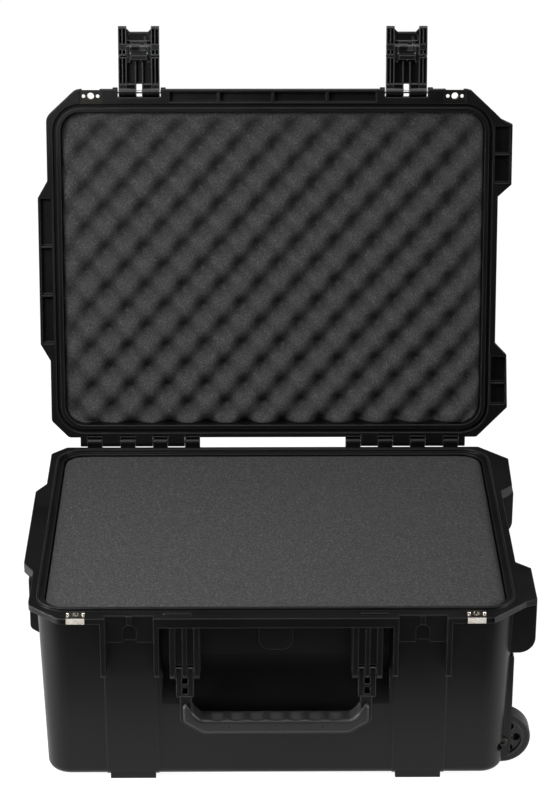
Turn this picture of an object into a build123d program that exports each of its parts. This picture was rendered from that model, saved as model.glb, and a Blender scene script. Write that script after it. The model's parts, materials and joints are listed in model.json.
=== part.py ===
from build123d import *
import os

# Wheeled waterproof hard case with its lid open, in millimetres.
# Frame: +X to the right, -Y to the front, +Z up. The origin is on the floor, under the middle of the base.
# Lid pieces are drawn with the lid shut, and turned open about the hinge when they are written.

# ---------------------------------------------------------------- driving sizes
# cavity and walls
CAVITY_W = 520.7          # opening, left to right
CAVITY_D = 393.7          # opening, front to back
CORNER_R = 25.0           # opening corners
BASE_DEPTH = 214.5        # floor of the base to the mating plane
LID_DEPTH = 50.8          # mating plane to the lid's roof
FLOOR_T = 5.0
ROOF_T = 4.5
WALL_TOP = 8.1            # wall beside the opening
WALL_LOW = 5.5            # wall near the floor
INNER_DRAFT = 3.9         # how far each inner wall leans in from opening to floor
BOTTOM_R = 10.0           # rounding of the base's lower edge
LID_TOP_R = 12.0          # rounding of the lid's upper edge
LID_WALL_LOW = 4.0        # lid wall beside the roof
LID_DRAFT = 2.0
LID_RIB_STEP = 66.4       # between the ribs in the lid's front rim

# feet
FOOT_H = 3.5
FOOT_W = 52.0
FOOT_R = 1.5
FOOT_BRIDGE = 20.0

# rims
RIM_H = 12.0
RIM_SIDE = 17.15          # rim beyond the opening, each side
RIM_FRONT = 27.15
RIM_BACK = 20.65
RIM_THIN = 7.0            # thickness of the base's rim at its front corners
FRONT_CUT = (36.0, 33.4)  # how much the front corners are cut off, across and back
BASE_CUT = 18.5           # the same for the base's rear corners
LID_CUT = 21.5
CUT_R = 14.0
REAR_CUT_R = 7.0
RIM_GAP = 0.3             # between the two rims when shut
TONGUE_OFF = 6.0          # tongue's inner face beyond the opening
TONGUE_W = 3.0
TONGUE_H = 3.6
GROOVE_SIDE = 0.8         # groove wall to tongue, each side
GASKET_T = 3.2
GROOVE_H = TONGUE_H + 0.3 + GASKET_T - RIM_GAP

# bumpers; their ends are measured in from the front or the rear of the opening
BUMPER_LEFT = 12.0        # beyond the rim
BUMPER_RIGHT = 16.5
LEFT_BUMPER_FRONT = 84.85
LEFT_BUMPER_REAR = 82.85
LEFT_BUMPER_CHAMFER = 21.0
FRONT_BUMPER_ENDS = (15.85, 89.85)
REAR_BUMPER_ENDS = (17.35, 89.25)
BUMPER_CHAMFER = 15.0
CORNER_STEP = (13.0, 6.0) # last step of the front right corner, up to the bumper
APRON_H = 69.0
APRON_R = 19.0
APRON_WALL = 4.0
FIN_T = 11.0
FIN_OUT = 5.5             # beyond the rim
FIN_H = 88.0
FIN_SLOPE = 14.0

# hinge
HINGE_BACK = 22.9         # behind the opening
HINGE_UP = 6.6            # above the mating plane
KNUCKLE_R = 6.0
HINGE_PIN_R = 2.0
PIN_CLEAR = 0.06
KNUCKLE_GAP = 0.4
HEEL_IN = 0.25            # how far a heel's faces lie inside the knuckle's round
LID_EDGE = 7.2            # hinge axis to the lid's rear edge
LID_OPEN = 101.6          # degrees
# base knuckles, in from the opening's side
KNUCKLE_ENDS = ((27.05, 45.75), (68.55, 87.35), (109.35, 128.15), (149.55, 168.85))
HINGE_SIDE = 18.35        # the hinge's end, in from the opening's side

# front latches
LATCH_SIDE = 96.95        # latch centre, in from the opening's side
LATCH_W = 50.0
LATCH_FRONT = 23.9        # pivot in front of the opening
LATCH_EYE_R = 5.5
LATCH_PIN_R = 2.0
LATCH_L = 79.5            # pivot to the tips of the horns
LATCH_HEEL = 9.0
LATCH_OUT = 9.25          # pivot to the outer face
LATCH_IN = 3.15           # pivot to the inner face
RAIL_W = 10.0
RAIL_RIB = 1.2
LATCH_PLATE = 3.5
LATCH_SLOT = 7.0
EAR_T = 6.0
EAR_IN = 26.4             # latch centre to the nearer faces of its ears
TRIGGER_U = 54.5          # latch pivot to trigger pivot
TRIGGER_V = 3.0
TRIGGER_PIN_R = 1.5
TRIGGER_BARREL_R = 4.2
TRIGGER_SKIN = 1.5        # the trigger's outer face above its barrel
TORSION_R = 2.2
TORSION_WIRE = 0.4
TORSION_LEG = 12.0
TRIGGER_START = 44.3
BODY_END = 42.6
BODY_LEDGE = 45.4         # a ledge of the body that laps the trigger's end
HORN_GUSSET = 4.0
HOOK_U = 41.0
HOOK_T = 4.0
HOOK_IN = 9.0
HOOK_W = 20.0
NOSE_H = 1.2
NOSE_L = 2.0
PAD_CLEAR = 0.6           # latch inner face to the strike pad

# strike zones of the base
RIB_T = 6.0
RIB_IN = 26.9             # latch centre to the nearer faces of the ribs
RIB_H = 77.0
LIP_ENDS = (4.0, 35.0)    # low guide lip on the base rim, in from the edge of the recess
LIP_BACK = 7.0            # behind the rim's front
LIP_W = 3.5
LIP_H = 2.5
BAND_OUT = 1.5
BAND_IN = 29.9            # latch centre to the band's edge
NOTCH_W = 15.0
NOTCH_H = 14.0
LIP_T = 3.0               # lip of the pad that the hook's nose goes behind
RIB_END_R = 5.0
PAD_RIB = 6.0             # width of the rib above the arch in the strike pad
PAD_RIB_OUT = 1.5

# padlock clips
CLIP_SIDE = 37.65         # clip's centre, in from the opening's side
CLIP_W = 20.5
CLIP_T = 1.3
CLIP_DROP = 6.0           # mating plane to the foot of its front flange
CLIP_Y = 19.15            # padlock bore in front of the opening
CLIP_BACK = 8.0           # bore to the clip's rear edge
PADLOCK_R = 4.25
EYELET_T = 1.25
STUD_X = 8.7
STUD_R = 1.9
STUD_H = 2.4
PLATE_W = 26.0

# front handle
RECESS_SIDE = 1.5         # edge of the recess to the nearest latch rib
RECESS_IN = 6.85          # outer face of the recessed wall, behind the front of the opening
RECESS_WALL = 4.0
RECESS_H = 113.0
RECESS_SLOPE = 36.0
RECESS_FOOT_R = 80.0      # where the recess runs into its ramp
RECESS_LIP_R = 80.0       # where the ramp runs out into the front wall
HANDLE_FRONT = 19.15      # pivot in front of the opening
HANDLE_PIVOT_DOWN = 69.0
HANDLE_PIN_R = 2.5
BOSS_ENDS = ((10.0, 16.5), (24.0, 29.5), (37.0, 43.5))  # in from the edge of the recess
BOSS_H = 81.0
BOSS_SKIN = 3.0           # plate between the ribs of a boss
BOSS_SKIN_IN = 2.0        # that plate behind the ribs' front
BOSS_OUT = 6.5            # pivot to the front of the boss
PRONG_GAP = 0.4
PRONG_R = 5.6
PRONG_L = 33.0
HANDLE_SIDE = 21.0        # outer face of the handle, in from the edge of the recess
HANDLE_DROP = 70.0        # pivot to the middle of the grip
GRIP_H = 20.0
GRIP_D = 24.0
CORE_D = 14.0
HANDLE_ARM_W = 15.0
CORNER_CUT = (24.0, 16.0) # lower corners of the handle, across and up
INSIDE_CUT = 8.5          # inner corners
GRIP_EDGE = 3.0           # frame left bare round the soft grip
GRIP_SKIN = 2.0           # soft grip on the frame's inner side
GRIP_END = 7.0            # end of the fork to the soft grip's ends
GRIP_R = 4.0
GROOVE_PITCH = 22.0       # finger grooves
GROOVE_R = 40.0
GROOVE_IN = 1.1
DOT_X = 53.0
DOT_R = 1.5

# side handle, on the left
SIDE_PIVOT_DOWN = 26.0
SIDE_PIVOT_OUT = 16.65    # pivot beyond the opening
SIDE_HALF = 66.0
SIDE_DROP = 48.0
SIDE_BAR = 10.0
SIDE_ARM_T = 11.0
SIDE_PIN_R = 2.5
SIDE_RIB_T = 6.0
SIDE_RIB_GAP = 0.4
SIDE_BOSS_R = 6.5
SIDE_GRIP_HALF = 48.0
SIDE_GRIP_WALL = 1.6

# valve
VALVE_DOWN = 36.5
VALVE_CAP = 19.5          # half the width of the square cap
VALVE_CAP_R = 13.0        # its corners
VALVE_BARREL_R = 11.0
VALVE_FLANGE_R = 16.0
VALVE_FLANGE_T = 2.5
VALVE_CAP_T = 5.0
SEAL_T = 1.5
NUT_T = 4.5
NUT_R = 16.0
MEMBRANE_R = 8.0
MEMBRANE_T = 0.4

# wheels
WHEEL_R = 33.0
WHEEL_OUT = 1.65          # axle beyond the opening
WHEEL_UP = 34.0
WHEEL_W = 22.0
TYRE_T = 8.0
WHEEL_SIDE = 0.5          # wheel to strut
WELL_CLEAR = 2.5
WELL_WALL = 4.0
STRUT_T = 6.0
STRUT_IN = 20.85          # outer face of the outer strut, in from the end of the opening
STRUT_OUT = 11.15         # beyond the opening
STRUT_TOP = 76.0          # below the mating plane
AXLE_R = 4.0
BUSH_R = 6.0
BUSH_CLEAR = 0.05
AXLE_HEAD_R = 6.0
AXLE_HEAD_T = 3.0
AXLE_THREAD = 9.0
BOSS_T = 12.0
SPOKES = 6
SPOKE_HOLE_R = 5.0
SPOKE_PITCH_R = 16.3

# pull handle
TROLLEY_OUT = 22.95       # tube axis beyond the opening, at the height of the mating plane
TROLLEY_LEAN = 3.8        # degrees
TUBE_Y = 45.0
TUBE_X = 12.0             # outer tube, across the wall
TUBE_W = 24.0             # outer tube, along the wall
TUBE_WALL = 1.0
STAGE_WALL = 0.9
TUBE_GAP = 0.3
TUBE_CORNER = 2.5
TUBE_DOWN = 84.0          # mating plane to the top of the outer tubes
TUBE_FOOT = 13.0          # floor to the lower end of the outer tubes
STAGE_STEP = 2.0
STRAP_T = 2.0
STRAP_H = 14.0
STRAP_HALF = 62.0
STRAP_DOWN = 100.0        # mating plane to the lower edge of the upper strap
STRAP_FOOT = 15.0         # floor to the lower strap
SEAT_BITE = 4.0           # how far a strap's seat reaches into the wall
SCREW_Y = 20.0
SCREW_R = 2.0
SCREW_HEAD_R = 3.8
SCREW_HEAD_T = 2.2
SCREW_BITE = 4.0          # length in the seat
PULL_HALF = 64.0
PULL_X = (-4.0, 8.0)
PULL_H = 25.0
PULL_R = 4.0
BUTTON_HALF = 16.0
BUTTON_X = 5.0
BUTTON_H = 7.0
BUTTON_PROUD = 3.0
BUTTON_CLEAR = 0.4
BUTTON_TRAVEL = 2.5
SPRING_R = 2.0
SPRING_WIRE = 0.35
SPRING_SHUT = 7.5         # length of the button's spring when pressed

# foam
FOAM_CLEAR = 0.8
FOAM_BOTTOM_T = 72.0
FOAM_MIDDLE_T = 70.0            # the top layer fills what is left
FOAM_SINK = 0.6                 # top of the base foam below the mating plane
LID_FOAM_SINK = 4.0             # peaks of the lid foam inside the lid's rim

# ---------------------------------------------------------------- what follows from them
UNDERSIDE = FOOT_H
FLOOR = UNDERSIDE + FLOOR_T
MATE = FLOOR + BASE_DEPTH
RIM_LOW = MATE - RIM_H
LID_MATE = MATE + RIM_GAP
LID_RIM_TOP = LID_MATE + RIM_H
ROOF = MATE + LID_DEPTH
LID_TOP = ROOF + ROOF_T
HALF_W = CAVITY_W / 2
HALF_D = CAVITY_D / 2
RIM_X = HALF_W + RIM_SIDE
RIM_Y = -(HALF_D + RIM_FRONT)
REAR_Y = HALF_D + RIM_BACK
LEFT_BUMPER_Y = (LEFT_BUMPER_FRONT - HALF_D, HALF_D - LEFT_BUMPER_REAR)
FRONT_BUMPER_Y = (FRONT_BUMPER_ENDS[0] - HALF_D, FRONT_BUMPER_ENDS[1] - HALF_D)
REAR_BUMPER_Y = (HALF_D - REAR_BUMPER_ENDS[1], HALF_D - REAR_BUMPER_ENDS[0])
HINGE_Y = HALF_D + HINGE_BACK
HINGE_Z = MATE + HINGE_UP
HINGE_END = HALF_W - HINGE_SIDE
BASE_KNUCKLES = [(HALF_W - far, HALF_W - near) for near, far in KNUCKLE_ENDS]
LATCH_X = HALF_W - LATCH_SIDE
CLIP_X = HALF_W - CLIP_SIDE
PIVOT_Y = -(HALF_D + LATCH_FRONT)
PIVOT_Z = HINGE_Z
PAD_Y = PIVOT_Y + LATCH_IN + PAD_CLEAR
PAD_LOW = PIVOT_Z - HOOK_U + 0.4
FRONT_WALL = -(HALF_D + WALL_TOP)
RECESS_HALF = LATCH_X - RIB_IN - RIB_T - RECESS_SIDE
RECESS_Y = HALF_D - RECESS_IN
LIP_X = (RECESS_HALF - LIP_ENDS[1], RECESS_HALF - LIP_ENDS[0])
LIP_Y = (RIM_Y + LIP_BACK, RIM_Y + LIP_BACK + LIP_W)
HANDLE_Y = -(HALF_D + HANDLE_FRONT)
HANDLE_Z = MATE - HANDLE_PIVOT_DOWN
HANDLE_HALF = RECESS_HALF - HANDLE_SIDE
BOSS_RIBS = [(RECESS_HALF - far, RECESS_HALF - near) for near, far in BOSS_ENDS]
SIDE_X = -(HALF_W + SIDE_PIVOT_OUT)
SIDE_Z = MATE - SIDE_PIVOT_DOWN
BORE_Y = -(HALF_D + CLIP_Y)
WHEEL_X = HALF_W + WHEEL_OUT
WHEEL_Z = WHEEL_UP
STRUT_X = HALF_W + STRUT_OUT
STRUT_Y = HALF_D - STRUT_IN
WHEEL_Y = STRUT_Y - STRUT_T - WHEEL_SIDE - WHEEL_W / 2
TUBE_HIGH = -TUBE_DOWN
TUBE_LOW = TUBE_FOOT - MATE
STRAP_LOW_Z = (STRAP_FOOT - MATE, -STRAP_DOWN)
TROLLEY = Location((HALF_W + TROLLEY_OUT, 0, MATE), (0, TROLLEY_LEAN, 0))
SIDES = {"left": -1, "right": 1}
ENDS = {"front": -1, "rear": 1}


# ---------------------------------------------------------------- plain shapes
def block(x, y, z):
    """A box from the low and high ends of its three spans."""
    size = [span[1] - span[0] for span in (x, y, z)]
    middle = [(span[0] + span[1]) / 2 for span in (x, y, z)]
    return Pos(*middle) * Box(*size)


def outline(points, radius=0):
    """A flat face from its corners; radius is one number or one for each corner."""
    return make_face(FilletPolyline(*points, radius=radius, close=True))


def prism_z(points, z, radius=0):
    """A plan outline given as (x, y), raised from z[0] to z[1]."""
    return Pos(0, 0, z[0]) * extrude(outline(points, radius), z[1] - z[0])


def prism_x(points, x, radius=0):
    """A side outline given as (y, z), carried from x[0] to x[1]."""
    plane = Plane(origin=(x[0], 0, 0), x_dir=(0, 1, 0), z_dir=(1, 0, 0))
    return extrude(plane * outline(points, radius), x[1] - x[0])


def prism_y(points, y, radius=0):
    """A front outline given as (x, z), carried from y[1] forward to y[0]."""
    plane = Plane(origin=(0, y[1], 0), x_dir=(1, 0, 0), z_dir=(0, -1, 0))
    return extrude(plane * outline(points, radius), y[1] - y[0])


def rod_x(x, y, z, radius):
    return Pos((x[0] + x[1]) / 2, y, z) * Rot(0, 90, 0) * Cylinder(radius, x[1] - x[0])


def rod_y(x, y, z, radius):
    return Pos(x, (y[0] + y[1]) / 2, z) * Rot(90, 0, 0) * Cylinder(radius, y[1] - y[0])


def rod_z(x, y, z, radius):
    return Pos(x, y, (z[0] + z[1]) / 2) * Cylinder(radius, z[1] - z[0])


def span(middle, half):
    return (middle - half, middle + half)


def mirrored(low, high, side):
    """A span on the right-hand side, or its mirror image on the left."""
    return (low, high) if side > 0 else (-high, -low)


def around_opening(offset):
    """The opening's outline, grown by offset, as a flat face at height zero."""
    return RectangleRounded(CAVITY_W + 2 * offset, CAVITY_D + 2 * offset, CORNER_R + offset)


def ring(inner, outer, z):
    """A band round the opening between two offsets from its edge."""
    return Pos(0, 0, z[0]) * extrude(around_opening(outer) - around_opening(inner), z[1] - z[0])


def drafted(low_offset, high_offset, z):
    """A solid whose section is the opening grown by one offset at z[0] and another at z[1]."""
    bottom = Pos(0, 0, z[0]) * around_opening(low_offset)
    top = Pos(0, 0, z[1]) * around_opening(high_offset)
    return loft([bottom, top], ruled=True)


def edges_at(shape, z):
    """The edges that lie flat at one height."""
    def level(edge):
        box = edge.bounding_box()
        return abs(box.min.Z - z) < 1e-3 and abs(box.max.Z - z) < 1e-3
    return shape.edges().filter_by(level)


# ---------------------------------------------------------------- rims and bumpers
def bumper_outlines(rear_y, rear_cut):
    """Plan outlines of the three side bumpers, each with its own name."""
    inner = HALF_W + TONGUE_OFF
    left = -RIM_X - BUMPER_LEFT
    right = RIM_X + BUMPER_RIGHT
    y0, y1 = LEFT_BUMPER_Y
    f0, f1 = FRONT_BUMPER_Y
    r0 = REAR_BUMPER_Y[0]
    diagonal = RIM_X + rear_y - rear_cut
    return {
        "left": [(-inner, y0), (-RIM_X, y0), (left, y0 + LEFT_BUMPER_CHAMFER),
                 (left, y1 - LEFT_BUMPER_CHAMFER), (-RIM_X, y1), (-inner, y1)],
        "front": [(RIM_X - FRONT_CUT[0], RIM_Y), (right - CORNER_STEP[0], f0 - CORNER_STEP[1]), (right, f0),
                  (right, f1), (RIM_X, f1 + BUMPER_CHAMFER), (inner, f1 + BUMPER_CHAMFER), (inner, f0)],
        "rear": [(RIM_X, r0 - BUMPER_CHAMFER), (right - 2, r0), (right, diagonal - right),
                 (diagonal - rear_y, rear_y), (inner - REAR_CUT_R, rear_y - REAR_CUT_R - CORNER_R),
                 (inner, r0 - BUMPER_CHAMFER)],
    }


def rim(rear_y, rear_cut, z):
    across, back = FRONT_CUT
    half = [(RIM_X - across, RIM_Y), (RIM_X, RIM_Y + back), (RIM_X, rear_y - rear_cut),
            (RIM_X - rear_cut, rear_y)]
    corners = half + [(-x, y) for x, y in reversed(half)]
    radii = [CUT_R, CUT_R, REAR_CUT_R, REAR_CUT_R]
    solid = prism_z(corners, z, radii + radii[::-1])
    for points in bumper_outlines(rear_y, rear_cut).values():
        solid += prism_z(points, z)
    return solid


def thin_corner(side):
    """What is taken off below the rim at a front corner of the base."""
    x = mirrored(LATCH_X + RIB_IN + RIB_T, RIM_X + BUMPER_RIGHT + 1, side)
    low, high = RIM_LOW - 1, MATE - RIM_THIN
    corner = block(x, (RIM_Y - 1, FRONT_BUMPER_Y[0]), (low, high))
    return corner - Pos(0, 0, low) * extrude(around_opening(WALL_TOP), high - low)


# ---------------------------------------------------------------- base shell
def front_wall_y(z):
    """Where the leaning front wall's outer face stands at height z."""
    share = (z - UNDERSIDE) / (RIM_LOW - UNDERSIDE)
    return -(HALF_D + WALL_LOW - INNER_DRAFT + share * (WALL_TOP - WALL_LOW + INNER_DRAFT))


def wheel_well(end, clearance=0.0):
    """The block that the wheel housing takes out of the cavity, grown by a clearance."""
    reach = WHEEL_R + WELL_CLEAR + WELL_WALL + clearance
    inner = STRUT_Y - 2 * STRUT_T - WHEEL_W - 2 * WHEEL_SIDE - (BOSS_T - STRUT_T)
    y = mirrored(inner - clearance, STRUT_Y + clearance, end)
    return block((WHEEL_X - reach, RIM_X), y, (0, WHEEL_Z + reach))


def handle_bump(clearance=0.0):
    """The block that the recessed front wall takes out of the cavity."""
    face = -RECESS_Y + RECESS_WALL + clearance
    half = RECESS_HALF + RECESS_WALL + clearance
    top = RIM_LOW + RECESS_WALL + clearance
    low = MATE - RECESS_H - RECESS_WALL - clearance
    foot = front_wall_y(MATE - RECESS_H) + clearance
    points = [(RIM_Y, low), (foot, low), (face, low + RECESS_SLOPE), (face, top), (RIM_Y, top)]
    return prism_x(points, span(0, half))


def base_cavity():
    cavity = drafted(-INNER_DRAFT, 0, (FLOOR, MATE + 1))
    cavity = fillet(edges_at(cavity, FLOOR), 8)
    cavity -= handle_bump()
    for end in ENDS.values():
        cavity -= wheel_well(end)
    return cavity


def wall_offset(z):
    """How far the outside of the base's wall lies beyond the opening at one height."""
    low = WALL_LOW - INNER_DRAFT
    return low + (WALL_TOP - low) * (z - UNDERSIDE) / (RIM_LOW - UNDERSIDE)


def base_body(grow=0.0):
    body = drafted(WALL_LOW - INNER_DRAFT + grow, WALL_TOP + grow, (UNDERSIDE, RIM_LOW))
    return fillet(edges_at(body, UNDERSIDE), BOTTOM_R)


def strike_zone(side):
    """The two ribs beside a latch, and the pad that its hook pulls against."""
    middle = side * LATCH_X
    root = FRONT_WALL + 4
    parts = []
    for lean in (-1, 1):
        near = middle + lean * RIB_IN
        far = near + lean * RIB_T
        x = (min(near, far), max(near, far))
        low = MATE - RIB_H
        points = [(root, MATE), (RIM_Y, MATE), (RIM_Y, low), (root, low)]
        parts.append(prism_x(points, x, [0, 0, RIB_END_R, 0]))
    pad = block(span(middle, RIB_IN), (PAD_Y, root), (PAD_LOW, MATE))
    arch = (PAD_Y - 1, PAD_Y + LIP_T)
    pad -= block(span(middle, NOTCH_W / 2), arch, (PAD_LOW - 1, PAD_LOW + NOTCH_H))
    pad -= rod_y(middle, arch, PAD_LOW + NOTCH_H, NOTCH_W / 2)
    rib_low = PAD_LOW + NOTCH_H + NOTCH_W / 2 + 1
    pad += block(span(middle, PAD_RIB / 2), (PAD_Y - PAD_RIB_OUT, root), (rib_low, MATE))
    room = (PAD_LOW - 1, PAD_LOW + NOSE_H + 0.5)
    pad -= block(span(middle, HOOK_W / 2 + 1), (PAD_Y + LIP_T, FRONT_WALL - 0.5), room)
    return parts, pad


def base_latch_cut(side):
    """Room in the rim, ahead of the strike pad, for the shut latch."""
    middle = side * LATCH_X
    return block(span(middle, RIB_IN), (RIM_Y - 1, PAD_Y), (RIM_LOW - 1, MATE + 1))


def handle_boss(side):
    """Three ribs that carry the handle's pins."""
    tail = HANDLE_Z - (MATE - BOSS_H)
    root, front = -RECESS_Y + 1, HANDLE_Y - BOSS_OUT
    points = [(root, RIM_LOW + 1), (front, RIM_LOW + 1), (front, HANDLE_Z - tail),
              (HANDLE_Y + tail, HANDLE_Z - tail), (root, HANDLE_Z - tail - 4)]
    ribs = [prism_x(points, mirrored(*rib, side), [0, 0, 8, 10, 0]) for rib in BOSS_RIBS]
    outer, inner = BOSS_RIBS[0][1], BOSS_RIBS[-1][0]
    bore = rod_x(mirrored(inner - 1, outer + 1, side), HANDLE_Y, HANDLE_Z, HANDLE_PIN_R)
    face = front + BOSS_SKIN_IN
    skin_z = (HANDLE_Z + PRONG_R + 2, RIM_LOW + 1)
    skin = block(mirrored(inner, outer, side), (face, face + BOSS_SKIN), skin_z)
    return [rib - bore for rib in ribs] + [skin]


def side_boss(end):
    """A pair of ribs under the left bumper that carry one pin of the side handle."""
    near = SIDE_HALF + SIDE_RIB_GAP
    wall = -(HALF_W + WALL_TOP) + 6
    out = SIDE_X - SIDE_BOSS_R
    points = [(wall, RIM_LOW + 1), (out, RIM_LOW + 1), (out, SIDE_Z - SIDE_BOSS_R), (wall, SIDE_Z - 16)]
    inner = SIDE_HALF - SIDE_ARM_T - SIDE_RIB_GAP
    ribs = []
    for low, high in ((near, near + SIDE_RIB_T), (inner - SIDE_RIB_T, inner)):
        ribs.append(prism_y(points, mirrored(low, high, end), [0, 0, 6, 0]))
    bore = rod_y(SIDE_X, mirrored(inner - SIDE_RIB_T - 1, near + SIDE_RIB_T + 1, end), SIDE_Z, SIDE_PIN_R)
    return [rib - bore for rib in ribs]


def fins():
    """Two upright fins under the ends of the left bumper."""
    wall = -(HALF_W + WALL_TOP) + 8
    out = -RIM_X - FIN_OUT
    points = [(wall, RIM_LOW + 1), (out, RIM_LOW + 1), (out, MATE - FIN_H + FIN_SLOPE), (wall, MATE - FIN_H)]
    radii = [0, 0, 8, 0]
    y0, y1 = LEFT_BUMPER_Y
    return [prism_y(points, (y0, y0 + FIN_T), radii), prism_y(points, (y1 - FIN_T, y1), radii)]


def apron(y):
    """A hollow skirt under a right-hand bumper, rounded back to the wall."""
    right = RIM_X + BUMPER_RIGHT
    wall = HALF_W + WALL_TOP - 7
    low = MATE - APRON_H
    points = [(wall, RIM_LOW + 1), (right, RIM_LOW + 1), (right, low), (wall, low)]
    skin = prism_y(points, y, [0, 0, APRON_R, 0])
    t = APRON_WALL
    hollow = block((HALF_W + WALL_TOP + t, right - t), (y[0] + t, y[1] - t), (low - 1, RIM_LOW))
    middle = (y[0] + y[1]) / 2
    rib = block((HALF_W + WALL_TOP, right - 1), span(middle, 2), (low + 12, RIM_LOW))
    return skin - hollow + (rib & skin)


def strut(end):
    """The pilaster that holds one wheel between its two cheeks."""
    inner = STRUT_Y - 2 * STRUT_T - WHEEL_W - 2 * WHEEL_SIDE - (BOSS_T - STRUT_T)
    y = mirrored(inner, STRUT_Y, end)
    wall = HALF_W - INNER_DRAFT - WHEEL_R
    low, high = UNDERSIDE + 6, MATE - STRUT_TOP
    points = [(wall, high), (STRUT_X, high), (STRUT_X, low), (wall, low)]
    solid = prism_y(points, y, [0, 3, 14, 0])
    fill = block((wall, HALF_W), y, (low, high))
    reach = WHEEL_R + WELL_CLEAR + WELL_WALL
    keep = block((WHEEL_X - reach, HALF_W - 5), y, (WHEEL_Z + reach, MATE))
    return solid + fill - keep


def wheel_slot(end):
    """Room for the wheel, open to the right and below, with the hole of its axle."""
    y = mirrored(WHEEL_Y - WHEEL_W / 2 - WHEEL_SIDE, WHEEL_Y + WHEEL_W / 2 + WHEEL_SIDE, end)
    reach = WHEEL_R + WELL_CLEAR
    slot = rod_y(WHEEL_X, y, WHEEL_Z, reach)
    slot += block((WHEEL_X, RIM_X + 40), y, span(WHEEL_Z, reach))
    slot += block((WHEEL_X - reach, RIM_X + 40), y, (-1, WHEEL_Z))
    deep = WHEEL_Y - WHEEL_W / 2 - WHEEL_SIDE - AXLE_THREAD
    hole = rod_y(WHEEL_X, mirrored(deep, STRUT_Y + 1, end), WHEEL_Z, AXLE_R)
    spot_face = rod_y(WHEEL_X, mirrored(STRUT_Y, STRUT_Y + WHEEL_R, end), WHEEL_Z, AXLE_HEAD_R + 1.5)
    return slot + hole + spot_face


def base_knuckles():
    """Base half of the hinge; each knuckle has a square heel that stops the lid."""
    parts = []
    front, back = HINGE_Y - KNUCKLE_R, HINGE_Y + KNUCKLE_R
    arm = [(front, RIM_LOW - 14), (back, RIM_LOW), (back, HINGE_Z), (front, HINGE_Z)]
    heel_y, heel_z = back - HEEL_IN, HINGE_Z + KNUCKLE_R - HEEL_IN
    heel = [(HINGE_Y, HINGE_Z), (heel_y, HINGE_Z), (heel_y, heel_z), (HINGE_Y, heel_z)]
    for side in SIDES.values():
        for low, high in BASE_KNUCKLES:
            x = mirrored(low + KNUCKLE_GAP / 2, high - KNUCKLE_GAP / 2, side)
            knuckle = rod_x(x, HINGE_Y, HINGE_Z, KNUCKLE_R) + prism_x(arm, x) + prism_x(heel, x)
            parts.append(knuckle)
    return parts


def hinge_bore():
    ends = (BASE_KNUCKLES[-1][0] - 1, HINGE_END + 1)
    radius = HINGE_PIN_R + PIN_CLEAR
    return [rod_x(mirrored(*ends, side), HINGE_Y, HINGE_Z, radius) for side in SIDES.values()]


def feet():
    """Two runners, flush with the raised bands at both ends, and the bridge between them."""
    solid = block(span(0, LATCH_X), span(0, FOOT_BRIDGE / 2), (0, UNDERSIDE + 1))
    end = HALF_D + wall_offset(UNDERSIDE) + BAND_OUT
    for side in SIDES.values():
        x = span(side * LATCH_X, FOOT_W / 2)
        runner = block(x, span(0, end), (0, UNDERSIDE + 1))
        for lean in ENDS.values():
            runner += block(x, mirrored(end - WALL_LOW, end, lean), (0, UNDERSIDE + BOTTOM_R))
        solid += fillet(edges_at(runner, 0), FOOT_R)
    return solid


def trolley_pads():
    """Raised seats on the right wall, square to the pull handle's tubes, and their screw holes."""
    back = -TUBE_X / 2
    pads = []
    holes = []
    for low in STRAP_LOW_Z:
        middle = low + STRAP_H / 2
        face = (TROLLEY * Pos(back, 0, middle)).position
        depth = face.X - HALF_W - wall_offset(face.Z) + SEAT_BITE
        pads.append(TROLLEY * block((back - depth, back), span(0, STRAP_HALF), (low, low + STRAP_H)))
        for y in (-SCREW_Y, SCREW_Y):
            holes.append(TROLLEY * rod_x((back - SCREW_BITE - 0.5, back + 1), y, middle, SCREW_R))
    return pads, holes


def clip_notch(side):
    """Open slot in the base rim that the padlock clip's eyelet stands in."""
    half = PADLOCK_R + EYELET_T + 0.5
    return block(span(side * CLIP_X, half), (RIM_Y - 1, BORE_Y + half), (RIM_LOW - 1, MATE + 1))


def base_shell():
    body = base_body()
    for side in SIDES.values():
        band = block(span(side * LATCH_X, BAND_IN), (RIM_Y, FRONT_WALL + 12), (UNDERSIDE, PAD_LOW))
        body += base_body(BAND_OUT) & band
    body += rim(REAR_Y, BASE_CUT, (RIM_LOW, MATE))
    for side in SIDES.values():
        body -= thin_corner(side)
    body += apron((FRONT_BUMPER_Y[0], FRONT_BUMPER_Y[1]))
    body += apron((REAR_BUMPER_Y[0], REAR_BUMPER_Y[1]))
    body += fins()
    for end in ENDS.values():
        body += strut(end)
    low = MATE - RECESS_H
    end = low - RECESS_SLOPE
    recess = [(RIM_Y - 20, RIM_LOW), (-RECESS_Y, RIM_LOW), (-RECESS_Y, low + RECESS_SLOPE),
              (front_wall_y(low), low), (front_wall_y(end) - 0.3, end), (RIM_Y - 20, end)]
    body -= prism_x(recess, span(0, RECESS_HALF), [0, 0, RECESS_FOOT_R, RECESS_LIP_R, 0, 0])
    body -= base_cavity()
    body += feet()
    pads, holes = trolley_pads()
    body += pads
    body -= holes
    for side in SIDES.values():
        body -= base_latch_cut(side)
        ribs, pad = strike_zone(side)
        body += ribs
        body += pad
        body += handle_boss(side)
        body -= clip_notch(side)
        body += block(mirrored(*LIP_X, side), LIP_Y, (MATE - 1, MATE + LIP_H))
    for end in ENDS.values():
        body += side_boss(end)
        body -= wheel_slot(end)
    body += ring(TONGUE_OFF, TONGUE_OFF + TONGUE_W, (MATE - 1, MATE + TONGUE_H))
    body += base_knuckles()
    body -= hinge_bore()
    body -= rod_y(0, (-RECESS_Y - 1, -RECESS_Y + RECESS_WALL + 1), MATE - VALVE_DOWN, VALVE_BARREL_R)
    return body


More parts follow.
